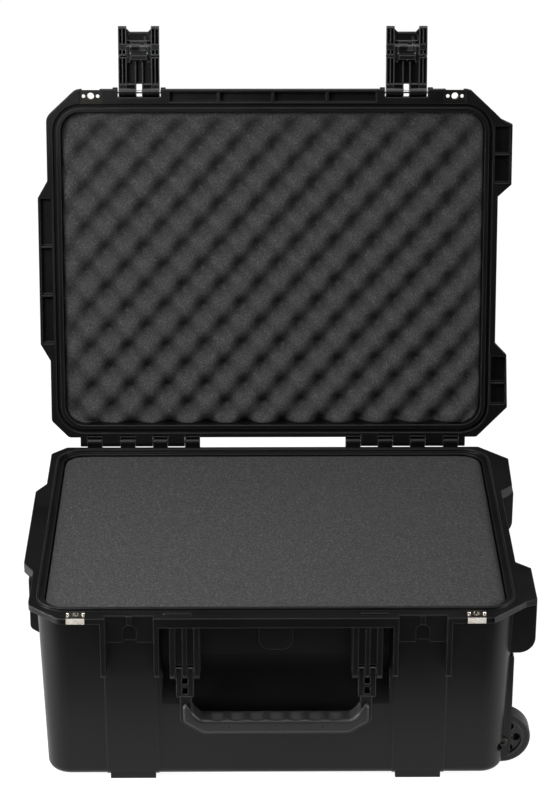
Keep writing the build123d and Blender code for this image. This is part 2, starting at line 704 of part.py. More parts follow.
# ---------------------------------------------------------------- valve
def valve():
    z = MATE - VALVE_DOWN
    face = -RECESS_Y
    back = face + RECESS_WALL
    flange = face - VALVE_FLANGE_T
    end = back + SEAL_T + NUT_T
    body = rod_y(0, (flange, face), z, VALVE_FLANGE_R) + rod_y(0, (face, end), z, VALVE_BARREL_R)
    body -= rod_y(0, (flange + 1, end + 1), z, MEMBRANE_R - 2)
    body -= rod_y(0, (flange - 1, flange + 1), z, MEMBRANE_R)
    square = [(x * VALVE_CAP, z + y * VALVE_CAP) for x, y in ((-1, -1), (1, -1), (1, 1), (-1, 1))]
    cap = prism_y(square, (flange - VALVE_CAP_T + VALVE_FLANGE_T, face), VALVE_CAP_R)
    cap -= rod_y(0, (flange, face + 1), z, VALVE_FLANGE_R)
    cap -= block(span(0, 4), (flange, face + 1), (z - VALVE_CAP - 1, z))
    seal = rod_y(0, (back, back + SEAL_T), z, VALVE_BARREL_R + 4)
    seal -= rod_y(0, (back - 1, back + SEAL_T + 1), z, VALVE_BARREL_R)
    plane = Plane(origin=(0, end, z), x_dir=(1, 0, 0), z_dir=(0, -1, 0))
    nut = extrude(plane * RegularPolygon(NUT_R, 6), NUT_T) - rod_y(0, (back, end + 1), z, VALVE_BARREL_R)
    membrane = rod_y(0, (flange + 1 - MEMBRANE_T, flange + 1), z, MEMBRANE_R)
    return {"valve_body": body, "valve_cap": cap, "valve_seal": seal, "valve_nut": nut,
            "valve_membrane": membrane}


# ---------------------------------------------------------------- padlock clips
def base_clip(side):
    """A steel channel folded over the base rim, with an eyelet and two studs."""
    x = side * CLIP_X
    front = RIM_Y - CLIP_T
    back = BORE_Y + CLIP_BACK
    half = CLIP_W / 2
    clip = block(span(x, half), (front, back), (MATE, MATE + CLIP_T))
    clip += block(span(x, half), (front, RIM_Y), (MATE - CLIP_DROP, MATE + CLIP_T))
    clip += rod_z(x, BORE_Y, (MATE - CLIP_DROP, MATE + CLIP_T), PADLOCK_R + EYELET_T)
    for lean in (-1, 1):
        stud = rod_z(x + lean * STUD_X, BORE_Y, (MATE + CLIP_T, MATE + CLIP_T + STUD_H), STUD_R)
        clip += fillet(edges_at(stud, MATE + CLIP_T + STUD_H), STUD_R * 0.6)
    return clip - rod_z(x, BORE_Y, (RIM_LOW - 1, MATE + STUD_H + 3), PADLOCK_R)


PLATE_LOW = MATE + CLIP_T + 0.4


def lid_plate(side):
    """A steel plate let into the lid's rim, pierced for a padlock and the two studs."""
    x = side * CLIP_X
    y = (RIM_Y + 0.5, BORE_Y + CLIP_BACK + 1)
    plate = block(span(x, PLATE_W / 2), y, (PLATE_LOW, PLATE_LOW + CLIP_T))
    plate += rod_z(x, BORE_Y, (PLATE_LOW, LID_RIM_TOP - 1), PADLOCK_R + EYELET_T)
    plate -= rod_z(x, BORE_Y, (PLATE_LOW - 1, LID_RIM_TOP + 1), PADLOCK_R)
    for lean in (-1, 1):
        plate -= rod_z(x + lean * STUD_X, BORE_Y, (PLATE_LOW - 1, PLATE_LOW + CLIP_T + 1), STUD_R + 0.3)
    return plate


# ---------------------------------------------------------------- lid
def lid_pockets():
    """Cores in the lid's front and side rims, between thin ribs."""
    cuts = []
    wall = TONGUE_OFF + TONGUE_W + GROOVE_SIDE + 2.5
    y = (RIM_Y + 3, -(HALF_D + wall))
    z = (LID_MATE - 1, LID_RIM_TOP - 3)
    end = RECESS_HALF - 1
    ribs = [-end, -LID_RIB_STEP, 0, LID_RIB_STEP, end]
    for low, high in zip(ribs, ribs[1:]):
        cuts.append(block((low + 1.5, high - 1.5), y, z))
    inner = HALF_W + wall
    right = RIM_X + BUMPER_RIGHT - 3
    for bumper, end in ((FRONT_BUMPER_Y, 2), (REAR_BUMPER_Y, 9)):
        middle = sum(bumper) / 2
        cuts.append(block((inner, right), (bumper[0] + 2, middle - 1), z))
        cuts.append(block((inner, right), (middle + 1, bumper[1] - end), z))
    y0, y1 = LEFT_BUMPER_Y[0] + LEFT_BUMPER_CHAMFER, LEFT_BUMPER_Y[1] - LEFT_BUMPER_CHAMFER
    third = (y1 - y0) / 3
    for step in range(3):
        low = y0 + step * third
        cuts.append(block((-right + BUMPER_RIGHT - BUMPER_LEFT, -inner), (low + 1, low + third - 1), z))
    rear = REAR_Y - RIM_BACK + wall
    for side in SIDES.values():
        for low, high in BASE_KNUCKLES:
            cuts.append(block(mirrored(low, high, side), (rear, HINGE_Y - LID_EDGE - 1.5), z))
    return cuts


def lid_shell():
    body = drafted(WALL_TOP, LID_WALL_LOW - LID_DRAFT, (LID_MATE + 1, LID_TOP))
    band_top = LID_TOP + BAND_OUT
    grown = drafted(WALL_TOP + BAND_OUT, LID_WALL_LOW - LID_DRAFT + BAND_OUT, (LID_MATE + 1, band_top))
    body = fillet(edges_at(body, LID_TOP), LID_TOP_R)
    grown = fillet(edges_at(grown, band_top), LID_TOP_R)
    for side in SIDES.values():
        for x in (span(side * LATCH_X, BAND_IN), span(side * LATCH_X / 3, BAND_IN / 2)):
            body += grown & block(x, span(0, -RIM_Y), (LID_MATE, band_top))
    rear_edge = HINGE_Y - LID_EDGE
    body += rim(rear_edge, LID_CUT, (LID_MATE, LID_RIM_TOP)) & block(
        span(0, RIM_X + 40), (RIM_Y, rear_edge), (LID_MATE, LID_RIM_TOP))
    body -= drafted(0, -LID_DRAFT, (LID_MATE - 1, ROOF))
    groove = TONGUE_OFF - GROOVE_SIDE
    body -= ring(groove, TONGUE_OFF + TONGUE_W + GROOVE_SIDE, (LID_MATE - 1, LID_MATE + GROOVE_H))
    body -= lid_pockets()
    for side in SIDES.values():
        body -= lid_latch_cut(side)
        body += lid_ears(side)
        body -= rod_x(span(side * LATCH_X, EAR_IN + EAR_T), PIVOT_Y, PIVOT_Z, LATCH_PIN_R)
        body -= lid_plate_seat(side)
        body += lid_knuckles(side)
    body -= hinge_bore()
    return body


def lid_latch_cut(side):
    y = (RIM_Y - 1, PIVOT_Y + LATCH_EYE_R + 0.7)
    return block(span(side * LATCH_X, EAR_IN), y, (LID_MATE - 1, LID_TOP))


def lid_ears(side):
    middle = side * LATCH_X
    ears = []
    for lean in (-1, 1):
        near = middle + lean * EAR_IN
        far = near + lean * EAR_T
        x = (min(near, far), max(near, far))
        ears.append(rod_x(x, PIVOT_Y, PIVOT_Z, LATCH_EYE_R))
        ears.append(block(x, (PIVOT_Y, PIVOT_Y + 12), span(PIVOT_Z, LATCH_EYE_R)))
    return ears


def lid_plate_seat(side):
    x = side * CLIP_X
    y = (RIM_Y - 1, BORE_Y + CLIP_BACK + 1)
    seat = block(span(x, PLATE_W / 2), y, (LID_MATE - 1, PLATE_LOW + CLIP_T))
    half = STUD_X + STUD_R + 0.5
    back = BORE_Y + PADLOCK_R + EYELET_T + 0.5
    return seat + block(span(x, half), (RIM_Y - 1, back), (LID_MATE - 1, LID_RIM_TOP + 1))


def lid_knuckles(side):
    """Lid half of the hinge: a knuckle in each space between the base's."""
    gaps = [(BASE_KNUCKLES[0][1], HINGE_END)]
    for upper, lower in zip(BASE_KNUCKLES, BASE_KNUCKLES[1:]):
        gaps.append((lower[1], upper[0]))
    parts = []
    for low, high in gaps:
        x = mirrored(low + KNUCKLE_GAP / 2, high - KNUCKLE_GAP / 2, side)
        arm = block(x, (HINGE_Y - LID_EDGE - 3, HINGE_Y), (HINGE_Z - KNUCKLE_R, HINGE_Z + 5.4))
        parts.append(rod_x(x, HINGE_Y, HINGE_Z, KNUCKLE_R) + arm)
    return parts


def lid_gasket():
    top = LID_MATE + GROOVE_H
    return ring(TONGUE_OFF - GROOVE_SIDE, TONGUE_OFF + TONGUE_W + GROOVE_SIDE, (top - GASKET_T, top))


def hinge_pin(side):
    low, high = BASE_KNUCKLES[-1][0], HINGE_END
    return rod_x(mirrored(low, high, side), HINGE_Y, HINGE_Z, HINGE_PIN_R)


# ---------------------------------------------------------------- latches, drawn shut and hanging
def latch_bar(points, x, radius=0):
    """A latch section given as (distance from pivot, distance outward), carried across in x."""
    return prism_x([(PIVOT_Y - out, PIVOT_Z - along) for along, out in points], x, radius)


def latch_rod(along, out, x, radius):
    return rod_x(x, PIVOT_Y - out, PIVOT_Z - along, radius)


def latch_box(along, out, x):
    (a0, a1), (o0, o1) = along, out
    return latch_bar([(a0, o0), (a1, o0), (a1, o1), (a0, o1)], x)


def rail_cores(along, x):
    """Two pockets in a rail's inner face, which leave three thin ribs."""
    out = (-LATCH_IN - 1, LATCH_OUT - LATCH_PLATE)
    centre = sum(x) / 2
    near = latch_box(along, out, (x[0] + RAIL_RIB, centre - RAIL_RIB / 2))
    return near + latch_box(along, out, (centre + RAIL_RIB / 2, x[1] - RAIL_RIB))


def latch_parts(side):
    middle = side * LATCH_X
    half = LATCH_W / 2
    inside = half - RAIL_W
    across = span(middle, half)
    body = latch_box((-LATCH_HEEL, BODY_END), (LATCH_OUT - LATCH_PLATE, LATCH_OUT), across)
    body += latch_rod(0, 0, across, LATCH_EYE_R)
    body += latch_rod(LATCH_EYE_R + 3, 2, across, 2.2)
    for lean in (-1, 1):
        outer = sorted((middle + lean * half, middle + lean * inside))
        rail = latch_box((0, BODY_END), (-LATCH_IN, LATCH_OUT), outer)
        body += rail - rail_cores((9, BODY_END - 1.5), outer)
        tongue = sorted((middle + lean * (inside - 0.3), middle + lean * (HOOK_W / 2 + 0.5)))
        body += latch_box((BODY_END - 7, BODY_END), (-1.2, LATCH_OUT - 1), tongue)
        body += latch_box((BODY_END - 1, TRIGGER_U), (-1.2, TRIGGER_V + 2.4), tongue)
        body += latch_rod(TRIGGER_U, TRIGGER_V, tongue, TRIGGER_BARREL_R)
        rib = sorted((middle + lean * 3.5, middle + lean * 5))
        body += latch_box((4, BODY_END - 6), (-1, LATCH_OUT - LATCH_PLATE), rib)
    body += latch_box((BODY_END - 1, BODY_LEDGE), (LATCH_OUT - 1.6, LATCH_OUT), across)
    slot = span(middle, LATCH_SLOT / 2)
    body -= latch_box((-LATCH_EYE_R - 1, LATCH_EYE_R + 4), (-LATCH_EYE_R - 1, LATCH_OUT + 1), slot)
    body -= latch_rod(0, 0, across, LATCH_PIN_R + PIN_CLEAR)
    body -= latch_rod(TRIGGER_U, TRIGGER_V, span(middle, half + 1), TRIGGER_PIN_R)

    trigger = latch_rod(TRIGGER_U, TRIGGER_V, span(middle, HOOK_W / 2), TRIGGER_BARREL_R)
    plate = TRIGGER_U + TRIGGER_BARREL_R + 2.4
    trigger += latch_box((plate, LATCH_L - 7), (TRIGGER_V, LATCH_OUT), span(middle, inside + 1))
    trigger += latch_box((TRIGGER_U, plate + 0.5), span(TRIGGER_V, 1.5), span(middle, HOOK_W / 2))
    skin = (LATCH_OUT - TRIGGER_SKIN, LATCH_OUT)
    trigger += latch_box((BODY_LEDGE + 1.6, plate + 0.5), skin, span(middle, inside + 1))
    nose = -HOOK_IN + NOSE_L
    web = (TRIGGER_V - 3, TRIGGER_V + 1)
    hook = [(TRIGGER_U, web[0]), (TRIGGER_U, web[1]), (HOOK_U, web[1]), (HOOK_U, nose),
            (HOOK_U - NOSE_H, nose), (HOOK_U - NOSE_H, -HOOK_IN), (HOOK_U + HOOK_T, -HOOK_IN),
            (HOOK_U + HOOK_T + 1, web[0])]
    trigger += latch_bar(hook, span(middle, HOOK_W / 2))
    for lean in (-1, 1):
        x = sorted((middle + lean * half, middle + lean * inside))
        cheek = [(TRIGGER_START, -LATCH_IN), (LATCH_L, -LATCH_IN + 2), (LATCH_L, LATCH_OUT),
                 (TRIGGER_START, LATCH_OUT)]
        horn = latch_bar(cheek, x, [0, 2, 2, 0])
        for along in ((TRIGGER_START + 1.5, TRIGGER_U - 3.5), (TRIGGER_U + 3.5, LATCH_L - 3)):
            horn -= rail_cores(along, x)
        trigger += horn
        gusset = [(inside, LATCH_L - 8), (inside, LATCH_L - 7 + HORN_GUSSET),
                  (inside - HORN_GUSSET, LATCH_L - 7), (inside - HORN_GUSSET, LATCH_L - 8)]
        corner = [(middle + lean * x, PIVOT_Z - along) for x, along in gusset]
        trigger += prism_y(corner, (PIVOT_Y - LATCH_OUT, PIVOT_Y - TRIGGER_V))
    dish = [(middle + lean * (inside - 1.5), PIVOT_Z - along)
            for lean, along in ((-1, plate + 1), (1, plate + 1), (1, LATCH_L - 9), (-1, LATCH_L - 9))]
    trigger -= prism_y(dish, (PIVOT_Y - TRIGGER_V - 1.2, PIVOT_Y - TRIGGER_V + 1), [0, 0, 5, 5])
    lap = (TRIGGER_START - 1, BODY_LEDGE + 1.6)
    trigger -= latch_box(lap, (LATCH_OUT - 2, LATCH_OUT + 1), span(middle, half + 1))
    trigger -= latch_rod(TRIGGER_U, TRIGGER_V, span(middle, half + 1), TRIGGER_PIN_R + PIN_CLEAR)

    ear = EAR_IN + EAR_T
    pin = latch_rod(0, 0, span(middle, ear), LATCH_PIN_R)
    trigger_pin = latch_rod(TRIGGER_U, TRIGGER_V, span(middle, half - 0.5), TRIGGER_PIN_R)
    coil_x = (middle + 1.5, middle + 7.5)
    room_x = (coil_x[0] - 0.6, coil_x[1] + 0.6)
    coil_out = (TRIGGER_V - TORSION_R - 0.7, LATCH_OUT - TRIGGER_SKIN)
    coil_room = latch_box((TRIGGER_U - 4.2, TRIGGER_U + 4.5), coil_out, room_x)
    leg_out = TRIGGER_V + TORSION_R
    leg_low = PIVOT_Z - TRIGGER_U - TORSION_LEG - 0.5
    leg_hole = rod_z(coil_x[1], PIVOT_Y - leg_out, (leg_low, PIVOT_Z - TRIGGER_U), TORSION_WIRE + 0.15)
    trigger -= coil_room
    trigger -= leg_hole
    start = (coil_x[0], PIVOT_Y - TRIGGER_V, PIVOT_Z - TRIGGER_U)
    centre = Plane(origin=start, x_dir=(0, -1, 0), z_dir=(1, 0, 0))
    coil = centre * Helix(pitch=1.0, height=coil_x[1] - coil_x[0], radius=TORSION_R)
    leg_up = Line((coil @ 0) + Vector(0, 0, TRIGGER_U - BODY_END + 5), coil @ 0)
    leg_down = Line(coil @ 1, (coil @ 1) - Vector(0, 0, TORSION_LEG))
    wire = Wire([leg_up.edge(), coil.edge(), leg_down.edge()])
    spring = sweep(Plane(origin=wire @ 0, z_dir=wire % 0) * Circle(TORSION_WIRE), path=wire)
    return {"latch_body": body, "latch_trigger": trigger, "latch_pin": pin, "trigger_pin": trigger_pin,
            "trigger_spring": spring}


# ---------------------------------------------------------------- front handle, hanging
def both_sides(right):
    """A closed outline from its right-hand half, given from the outer to the inner end."""
    return right + [(-x, z) for x, z in reversed(right)]


def handle_loop(outer, inner, top, depth, end_r):
    """A U-shaped loop; outer and inner are its distances in from the handle's own edges."""
    low = HANDLE_Z - HANDLE_DROP - GRIP_H / 2
    right = HANDLE_HALF - outer
    across, up = CORNER_CUT
    turn = outer / 2
    inside = HANDLE_HALF - HANDLE_ARM_W + inner
    floor = low + GRIP_H - inner
    whole = [(right, top), (right, low + outer + up - turn), (right - across + turn, low + outer)]
    hole = [(inside, top + 1), (inside, floor + INSIDE_CUT), (inside - INSIDE_CUT, floor)]
    loop = prism_y(both_sides(whole), depth, [end_r, 6, 12, 12, 6, end_r])
    return loop - prism_y(both_sides(hole), (depth[0] - 1, depth[1] + 1), [0, 6, 8, 8, 6, 0])


def handle_parts():
    low = HANDLE_Z - HANDLE_DROP
    top = low + GRIP_H / 2
    prong_depth = span(HANDLE_Y, PRONG_R)
    fork_low = HANDLE_Z - PRONG_L
    frame = handle_loop(0, GRIP_SKIN, fork_low + 2, span(HANDLE_Y, CORE_D / 2), 1)
    pins = []
    outer_rib, mid_rib, inner_rib = BOSS_RIBS
    fork = (inner_rib[1] + PRONG_GAP, outer_rib[0] - PRONG_GAP)
    prongs = ((mid_rib[1] + PRONG_GAP, fork[1]), (fork[0], mid_rib[0] - PRONG_GAP))
    for side in SIDES.values():
        for x in prongs:
            frame += rod_x(mirrored(*x, side), HANDLE_Y, HANDLE_Z, PRONG_R)
            frame += block(mirrored(*x, side), prong_depth, (fork_low, HANDLE_Z))
        for z in ((fork_low, fork_low + 4), (fork_low + 13, fork_low + 17)):
            frame += block(mirrored(*fork, side), prong_depth, z)
        bore = mirrored(inner_rib[0] - 1, outer_rib[1] + 1, side)
        frame -= rod_x(bore, HANDLE_Y, HANDLE_Z, HANDLE_PIN_R + PIN_CLEAR)
        pins.append(rod_x(mirrored(inner_rib[0], outer_rib[1], side), HANDLE_Y, HANDLE_Z, HANDLE_PIN_R))
    grip = handle_loop(GRIP_EDGE, 0, fork_low - GRIP_END, span(HANDLE_Y, GRIP_D / 2), GRIP_R + 1)
    faces = grip.faces().filter_by(Axis.Y).sort_by(Axis.Y)
    grip = fillet(faces[0].edges() + faces[-1].edges(), GRIP_R)
    for step in range(-3, 4):
        x = step * GROOVE_PITCH
        grip -= rod_y(x, span(HANDLE_Y, GRIP_D), top + GROOVE_R - GROOVE_IN, GROOVE_R)
    for x in (-DOT_X, 0, DOT_X):
        grip -= rod_y(x, (HANDLE_Y - GRIP_D / 2 - 1, HANDLE_Y - GRIP_D / 2 + 1), low + 3, DOT_R)
    return frame, grip - frame, Compound(pins)


# ---------------------------------------------------------------- side handle, hanging on the left
def side_handle_parts():
    low = SIDE_Z - SIDE_DROP
    half_bar = SIDE_BAR / 2
    half_core = half_bar - SIDE_GRIP_WALL
    core = block(span(SIDE_X, half_core), span(0, SIDE_HALF), span(low, half_core))
    frame = core
    pins = []
    for end in ENDS.values():
        y = mirrored(SIDE_HALF - SIDE_ARM_T, SIDE_HALF, end)
        arm = block(span(SIDE_X, half_bar), y, (low - half_bar, SIDE_Z)) + rod_y(SIDE_X, y, SIDE_Z, half_bar)
        frame += arm - rod_y(SIDE_X, (y[0] - 1, y[1] + 1), SIDE_Z, SIDE_PIN_R + PIN_CLEAR)
        ribs = SIDE_RIB_GAP + SIDE_RIB_T
        reach = mirrored(SIDE_HALF - SIDE_ARM_T - ribs, SIDE_HALF + ribs, end)
        pins.append(rod_y(SIDE_X, reach, SIDE_Z, SIDE_PIN_R))
    grip = block(span(SIDE_X, half_bar + 0.6), span(0, SIDE_GRIP_HALF), span(low, half_bar + 0.6))
    grip = fillet(grip.edges().filter_by(Axis.Y), 3)
    return frame, grip - core, Compound(pins)


# ---------------------------------------------------------------- wheels
def wheel_parts(end):
    middle = end * WHEEL_Y
    y = span(middle, WHEEL_W / 2)
    rim_r = WHEEL_R - TYRE_T
    tyre = rod_y(WHEEL_X, y, WHEEL_Z, WHEEL_R)
    tyre = fillet(tyre.edges(), 3.5) - rod_y(WHEEL_X, (y[0] - 1, y[1] + 1), WHEEL_Z, rim_r)
    hub = rod_y(WHEEL_X, y, WHEEL_Z, rim_r)
    dish = rod_y(0, (-2.5, 0.1), 0, rim_r - 2.5) - rod_y(0, (-3, 1), 0, BUSH_R + 3.5)
    hub -= Pos(WHEEL_X, y[0] + 2.4, WHEEL_Z) * dish
    hub -= Pos(WHEEL_X, y[1], WHEEL_Z) * dish
    hub -= rod_y(WHEEL_X, (y[0] - 1, y[1] + 1), WHEEL_Z, BUSH_R)
    for turn in range(SPOKES):
        hole = rod_y(SPOKE_PITCH_R, span(0, WHEEL_W / 2 + 1), 0, SPOKE_HOLE_R)
        hub -= Pos(WHEEL_X, middle, WHEEL_Z) * Rot(0, 360 / SPOKES * turn, 0) * hole
    bush = rod_y(WHEEL_X, y, WHEEL_Z, BUSH_R)
    bush -= rod_y(WHEEL_X, (y[0] - 1, y[1] + 1), WHEEL_Z, AXLE_R + BUSH_CLEAR)
    deep = WHEEL_Y - WHEEL_W / 2 - WHEEL_SIDE - AXLE_THREAD
    axle = rod_y(WHEEL_X, mirrored(deep, STRUT_Y, end), WHEEL_Z, AXLE_R)
    head = rod_y(WHEEL_X, mirrored(STRUT_Y, STRUT_Y + AXLE_HEAD_T, end), WHEEL_Z, AXLE_HEAD_R)
    outer = head.edges().sort_by(Axis.Y)[-1 if end > 0 else 0]
    head = fillet(outer, 1.6)
    crown = (WHEEL_X, end * (STRUT_Y + AXLE_HEAD_T), WHEEL_Z)
    socket = Plane(origin=crown, x_dir=(1, 0, 0), z_dir=(0, -end, 0))
    head -= extrude(socket * RegularPolygon(2.5, 6), 2)
    return {"wheel_tyre": tyre, "wheel_hub": hub, "wheel_bush": bush, "axle_bolt": axle + head}


# ---------------------------------------------------------------- pull handle, in the frame of its tubes
def tube(size, length, wall=None):
    """A rounded rectangular tube, or a bar if it has no wall, at both tube places."""
    (x, y), (low, high) = size, length
    solids = []
    for place in (-TUBE_Y, TUBE_Y):
        face = RectangleRounded(x, y, min(TUBE_CORNER, x / 3))
        solid = Pos(0, place, low) * extrude(face, high - low)
        if wall:
            inner = RectangleRounded(x - 2 * wall, y - 2 * wall, min(TUBE_CORNER - wall, x / 3 - wall / 2))
            solid -= Pos(0, place, low + 2) * extrude(inner, high - low)
        solids.append(solid)
    return solids


def trolley_parts():
    x, y = TUBE_X, TUBE_W
    parts = {"pull_outer_tubes": tube((x, y), (TUBE_LOW, TUBE_HIGH), TUBE_WALL)}
    sizes = []
    for wall in (TUBE_WALL, STAGE_WALL, STAGE_WALL):
        x -= 2 * (wall + TUBE_GAP)
        y -= 2 * (wall + TUBE_GAP)
        sizes.append((x, y))
    names = ("pull_stage_1", "pull_stage_2", "pull_stage_3")
    walls = (STAGE_WALL, STAGE_WALL, None)
    low, high = TUBE_LOW + 2 + TUBE_GAP, TUBE_HIGH + STAGE_STEP
    for name, size, wall in zip(names, sizes, walls):
        top = high if wall else high + STAGE_STEP + PULL_H / 2
        parts[name] = tube(size, (low, top), wall)
        low += 2 + TUBE_GAP
        high += STAGE_STEP
    straps = []
    screws = []
    for z in STRAP_LOW_Z:
        strap = block((-TUBE_X / 2, TUBE_X / 2 + STRAP_T), span(0, STRAP_HALF), (z, z + STRAP_H))
        strap = fillet(strap.edges().filter_by(Axis.Z).group_by(Axis.X)[-1], 4)
        for place in (-TUBE_Y, TUBE_Y):
            strap -= block(span(0, TUBE_X / 2), span(place, TUBE_W / 2), (z - 1, z + STRAP_H + 1))
        for place in (-SCREW_Y, SCREW_Y):
            strap -= rod_x((-TUBE_X, TUBE_X), place, z + STRAP_H / 2, SCREW_R)
            face = TUBE_X / 2 + STRAP_T
            screw = rod_x((-TUBE_X / 2 - SCREW_BITE, face), place, z + STRAP_H / 2, SCREW_R)
            screw += rod_x((face, face + SCREW_HEAD_T), place, z + STRAP_H / 2, SCREW_HEAD_R)
            screws.append(screw)
        straps.append(strap)
    parts["pull_straps"] = straps
    parts["pull_strap_screws"] = screws
    grip_low = high
    grip_top = grip_low + PULL_H
    button_low = grip_top - BUTTON_H + BUTTON_PROUD
    grip = block(PULL_X, span(0, PULL_HALF), (grip_low, grip_top))
    grip = fillet(grip.edges().filter_by(Axis.Y), PULL_R)
    stage_x, stage_y = sizes[-1]
    for place in (-TUBE_Y, TUBE_Y):
        socket = RectangleRounded(stage_x, stage_y, stage_x / 3)
        grip -= Pos(0, place, grip_low - 1) * extrude(socket, PULL_H / 2 + 1)
    middle = sum(PULL_X) / 2
    well_x = span(middle, BUTTON_X / 2 + BUTTON_CLEAR)
    well_low = button_low - BUTTON_TRAVEL - SPRING_SHUT
    grip -= block(well_x, span(0, BUTTON_HALF + BUTTON_CLEAR), (well_low, grip_top + 1))
    button = block(span(middle, BUTTON_X / 2), span(0, BUTTON_HALF), (button_low, grip_top + BUTTON_PROUD))
    button = fillet(edges_at(button, grip_top + BUTTON_PROUD), 1)
    parts["pull_grip"] = [grip]
    parts["pull_button"] = [button]
    coil = Helix(pitch=1.6, height=button_low - well_low - 3 * SPRING_WIRE, radius=SPRING_R - SPRING_WIRE)
    section = Plane(origin=coil @ 0, z_dir=coil % 0) * Circle(SPRING_WIRE)
    spring = Pos(middle, 0, well_low + 1.5 * SPRING_WIRE) * sweep(section, path=coil)
    parts["pull_button_spring"] = [spring]
    return {name: [TROLLEY * solid for solid in solids] for name, solids in parts.items()}


# ---------------------------------------------------------------- foam
def base_foam():
    whole = drafted(-INNER_DRAFT - FOAM_CLEAR, -FOAM_CLEAR, (FLOOR + 0.3, MATE - FOAM_SINK))
    whole = fillet(edges_at(whole, FLOOR + 0.3), 8)
    whole -= handle_bump(FOAM_CLEAR)
    for end in ENDS.values():
        whole -= wheel_well(end, FOAM_CLEAR)
    whole -= rod_y(0, (-RECESS_Y, -RECESS_Y + RECESS_WALL + SEAL_T + NUT_T + 2), MATE - VALVE_DOWN, NUT_R + 2)
    levels = [FLOOR, FLOOR + FOAM_BOTTOM_T, FLOOR + FOAM_BOTTOM_T + FOAM_MIDDLE_T, MATE]
    layers = {}
    for name, low, high in zip(("bottom", "middle", "top"), levels, levels[1:]):
        slab = block(span(0, CAVITY_W), span(0, CAVITY_D), (low, high - 0.2))
        layers["base_foam_" + name] = whole & slab
    return layers


def lid_foam():
    low = LID_MATE + LID_FOAM_SINK
    return drafted(-FOAM_CLEAR, -LID_DRAFT - FOAM_CLEAR, (low, ROOF - 0.3))


# ---------------------------------------------------------------- assembly
def open_lid(shape):
    return shape.rotate(Axis((0, HINGE_Y, HINGE_Z), (1, 0, 0)), -LID_OPEN)


def open_latch(shape):
    return open_lid(shape.rotate(Axis((0, PIVOT_Y, PIVOT_Z), (1, 0, 0)), -90))


def write(name, shape):
    solids = shape if isinstance(shape, (list, ShapeList)) else shape.solids()
    solids = [solid for item in solids for solid in item.solids()]
    whole = solids[0] if len(solids) == 1 else Compound(solids)
    export_step(whole, os.path.join("parts", name + ".step"))


def main():
    os.makedirs("parts", exist_ok=True)
    write("base_shell", base_shell())
    for name, shape in {**valve(), **base_foam(), **trolley_parts()}.items():
        write(name, shape)
    write("lid_shell", open_lid(lid_shell()))
    write("lid_gasket", open_lid(lid_gasket()))
    write("lid_foam", open_lid(lid_foam()))
    for name, side in SIDES.items():
        write("hinge_pin_" + name, hinge_pin(side))
        write("base_padlock_clip_" + name, base_clip(side))
        write("lid_padlock_plate_" + name, open_lid(lid_plate(side)))
        for part, shape in latch_parts(side).items():
            place = open_lid if part == "latch_pin" else open_latch
            write(part + "_" + name, place(shape))
    for name, end in ENDS.items():
        for part, shape in wheel_parts(end).items():
            write(part + "_" + name, shape)
    for prefix, made in (("front_handle", handle_parts()), ("side_handle", side_handle_parts())):
        for part, shape in zip(("frame", "grip", "pins"), made):
            write(prefix + "_" + part, shape)


main()
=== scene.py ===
# %% [markdown]
# # A wheeled hard case with its lid open
#
# This is a waterproof case of the kind that carries cameras and instruments. Two moulded shells meet at a
# sealed rim, two lever latches hold them shut, and foam fills both halves. Every rigid piece was already made
# to size as a solid model, so this lesson loads those pieces, gives each one its finish, and builds the soft
# foam as meshes of its own.

# %% Load the solid model
import json
import math

import bmesh
import bpy
from mathutils import Matrix, Vector, noise

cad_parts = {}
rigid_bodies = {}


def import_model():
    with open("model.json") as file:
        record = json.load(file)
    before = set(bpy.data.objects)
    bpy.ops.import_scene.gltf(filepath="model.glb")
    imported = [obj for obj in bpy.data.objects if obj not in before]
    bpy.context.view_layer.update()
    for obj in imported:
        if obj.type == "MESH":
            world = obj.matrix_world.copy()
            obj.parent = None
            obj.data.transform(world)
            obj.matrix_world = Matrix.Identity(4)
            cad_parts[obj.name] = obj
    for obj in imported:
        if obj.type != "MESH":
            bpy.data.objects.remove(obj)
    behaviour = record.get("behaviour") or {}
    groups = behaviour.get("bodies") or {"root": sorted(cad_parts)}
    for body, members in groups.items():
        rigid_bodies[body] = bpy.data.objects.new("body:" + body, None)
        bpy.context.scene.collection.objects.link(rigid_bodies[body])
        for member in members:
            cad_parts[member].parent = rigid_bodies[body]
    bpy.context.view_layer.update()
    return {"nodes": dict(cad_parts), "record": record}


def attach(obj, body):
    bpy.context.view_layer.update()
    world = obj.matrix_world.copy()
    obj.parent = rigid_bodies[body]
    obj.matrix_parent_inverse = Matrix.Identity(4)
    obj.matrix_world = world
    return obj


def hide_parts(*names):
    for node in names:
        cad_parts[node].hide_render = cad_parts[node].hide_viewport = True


for old in list(bpy.data.objects):
    bpy.data.objects.remove(old)
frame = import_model()
nodes = frame["nodes"]

# %% [markdown]
# ## Camera
#
# The case stands on the floor, and the viewer stands in front of it and looks down at it. The camera is far
# enough away that upright edges stay nearly parallel, which takes a long lens: a short one would make the
# base bulge towards the viewer. It looks along +Y, is tipped down, and is turned by less than a degree,
# because nobody sets a tripod down perfectly square.

# %% Camera
LENS_MM = 117.5
SENSOR_MM = 36.0
CAMERA_PLACE = Vector((-0.028, -2.755, 1.641))
TIP_DOWN, TURN, ROLL = (math.radians(a) for a in (-24.47, -0.65, -0.16))

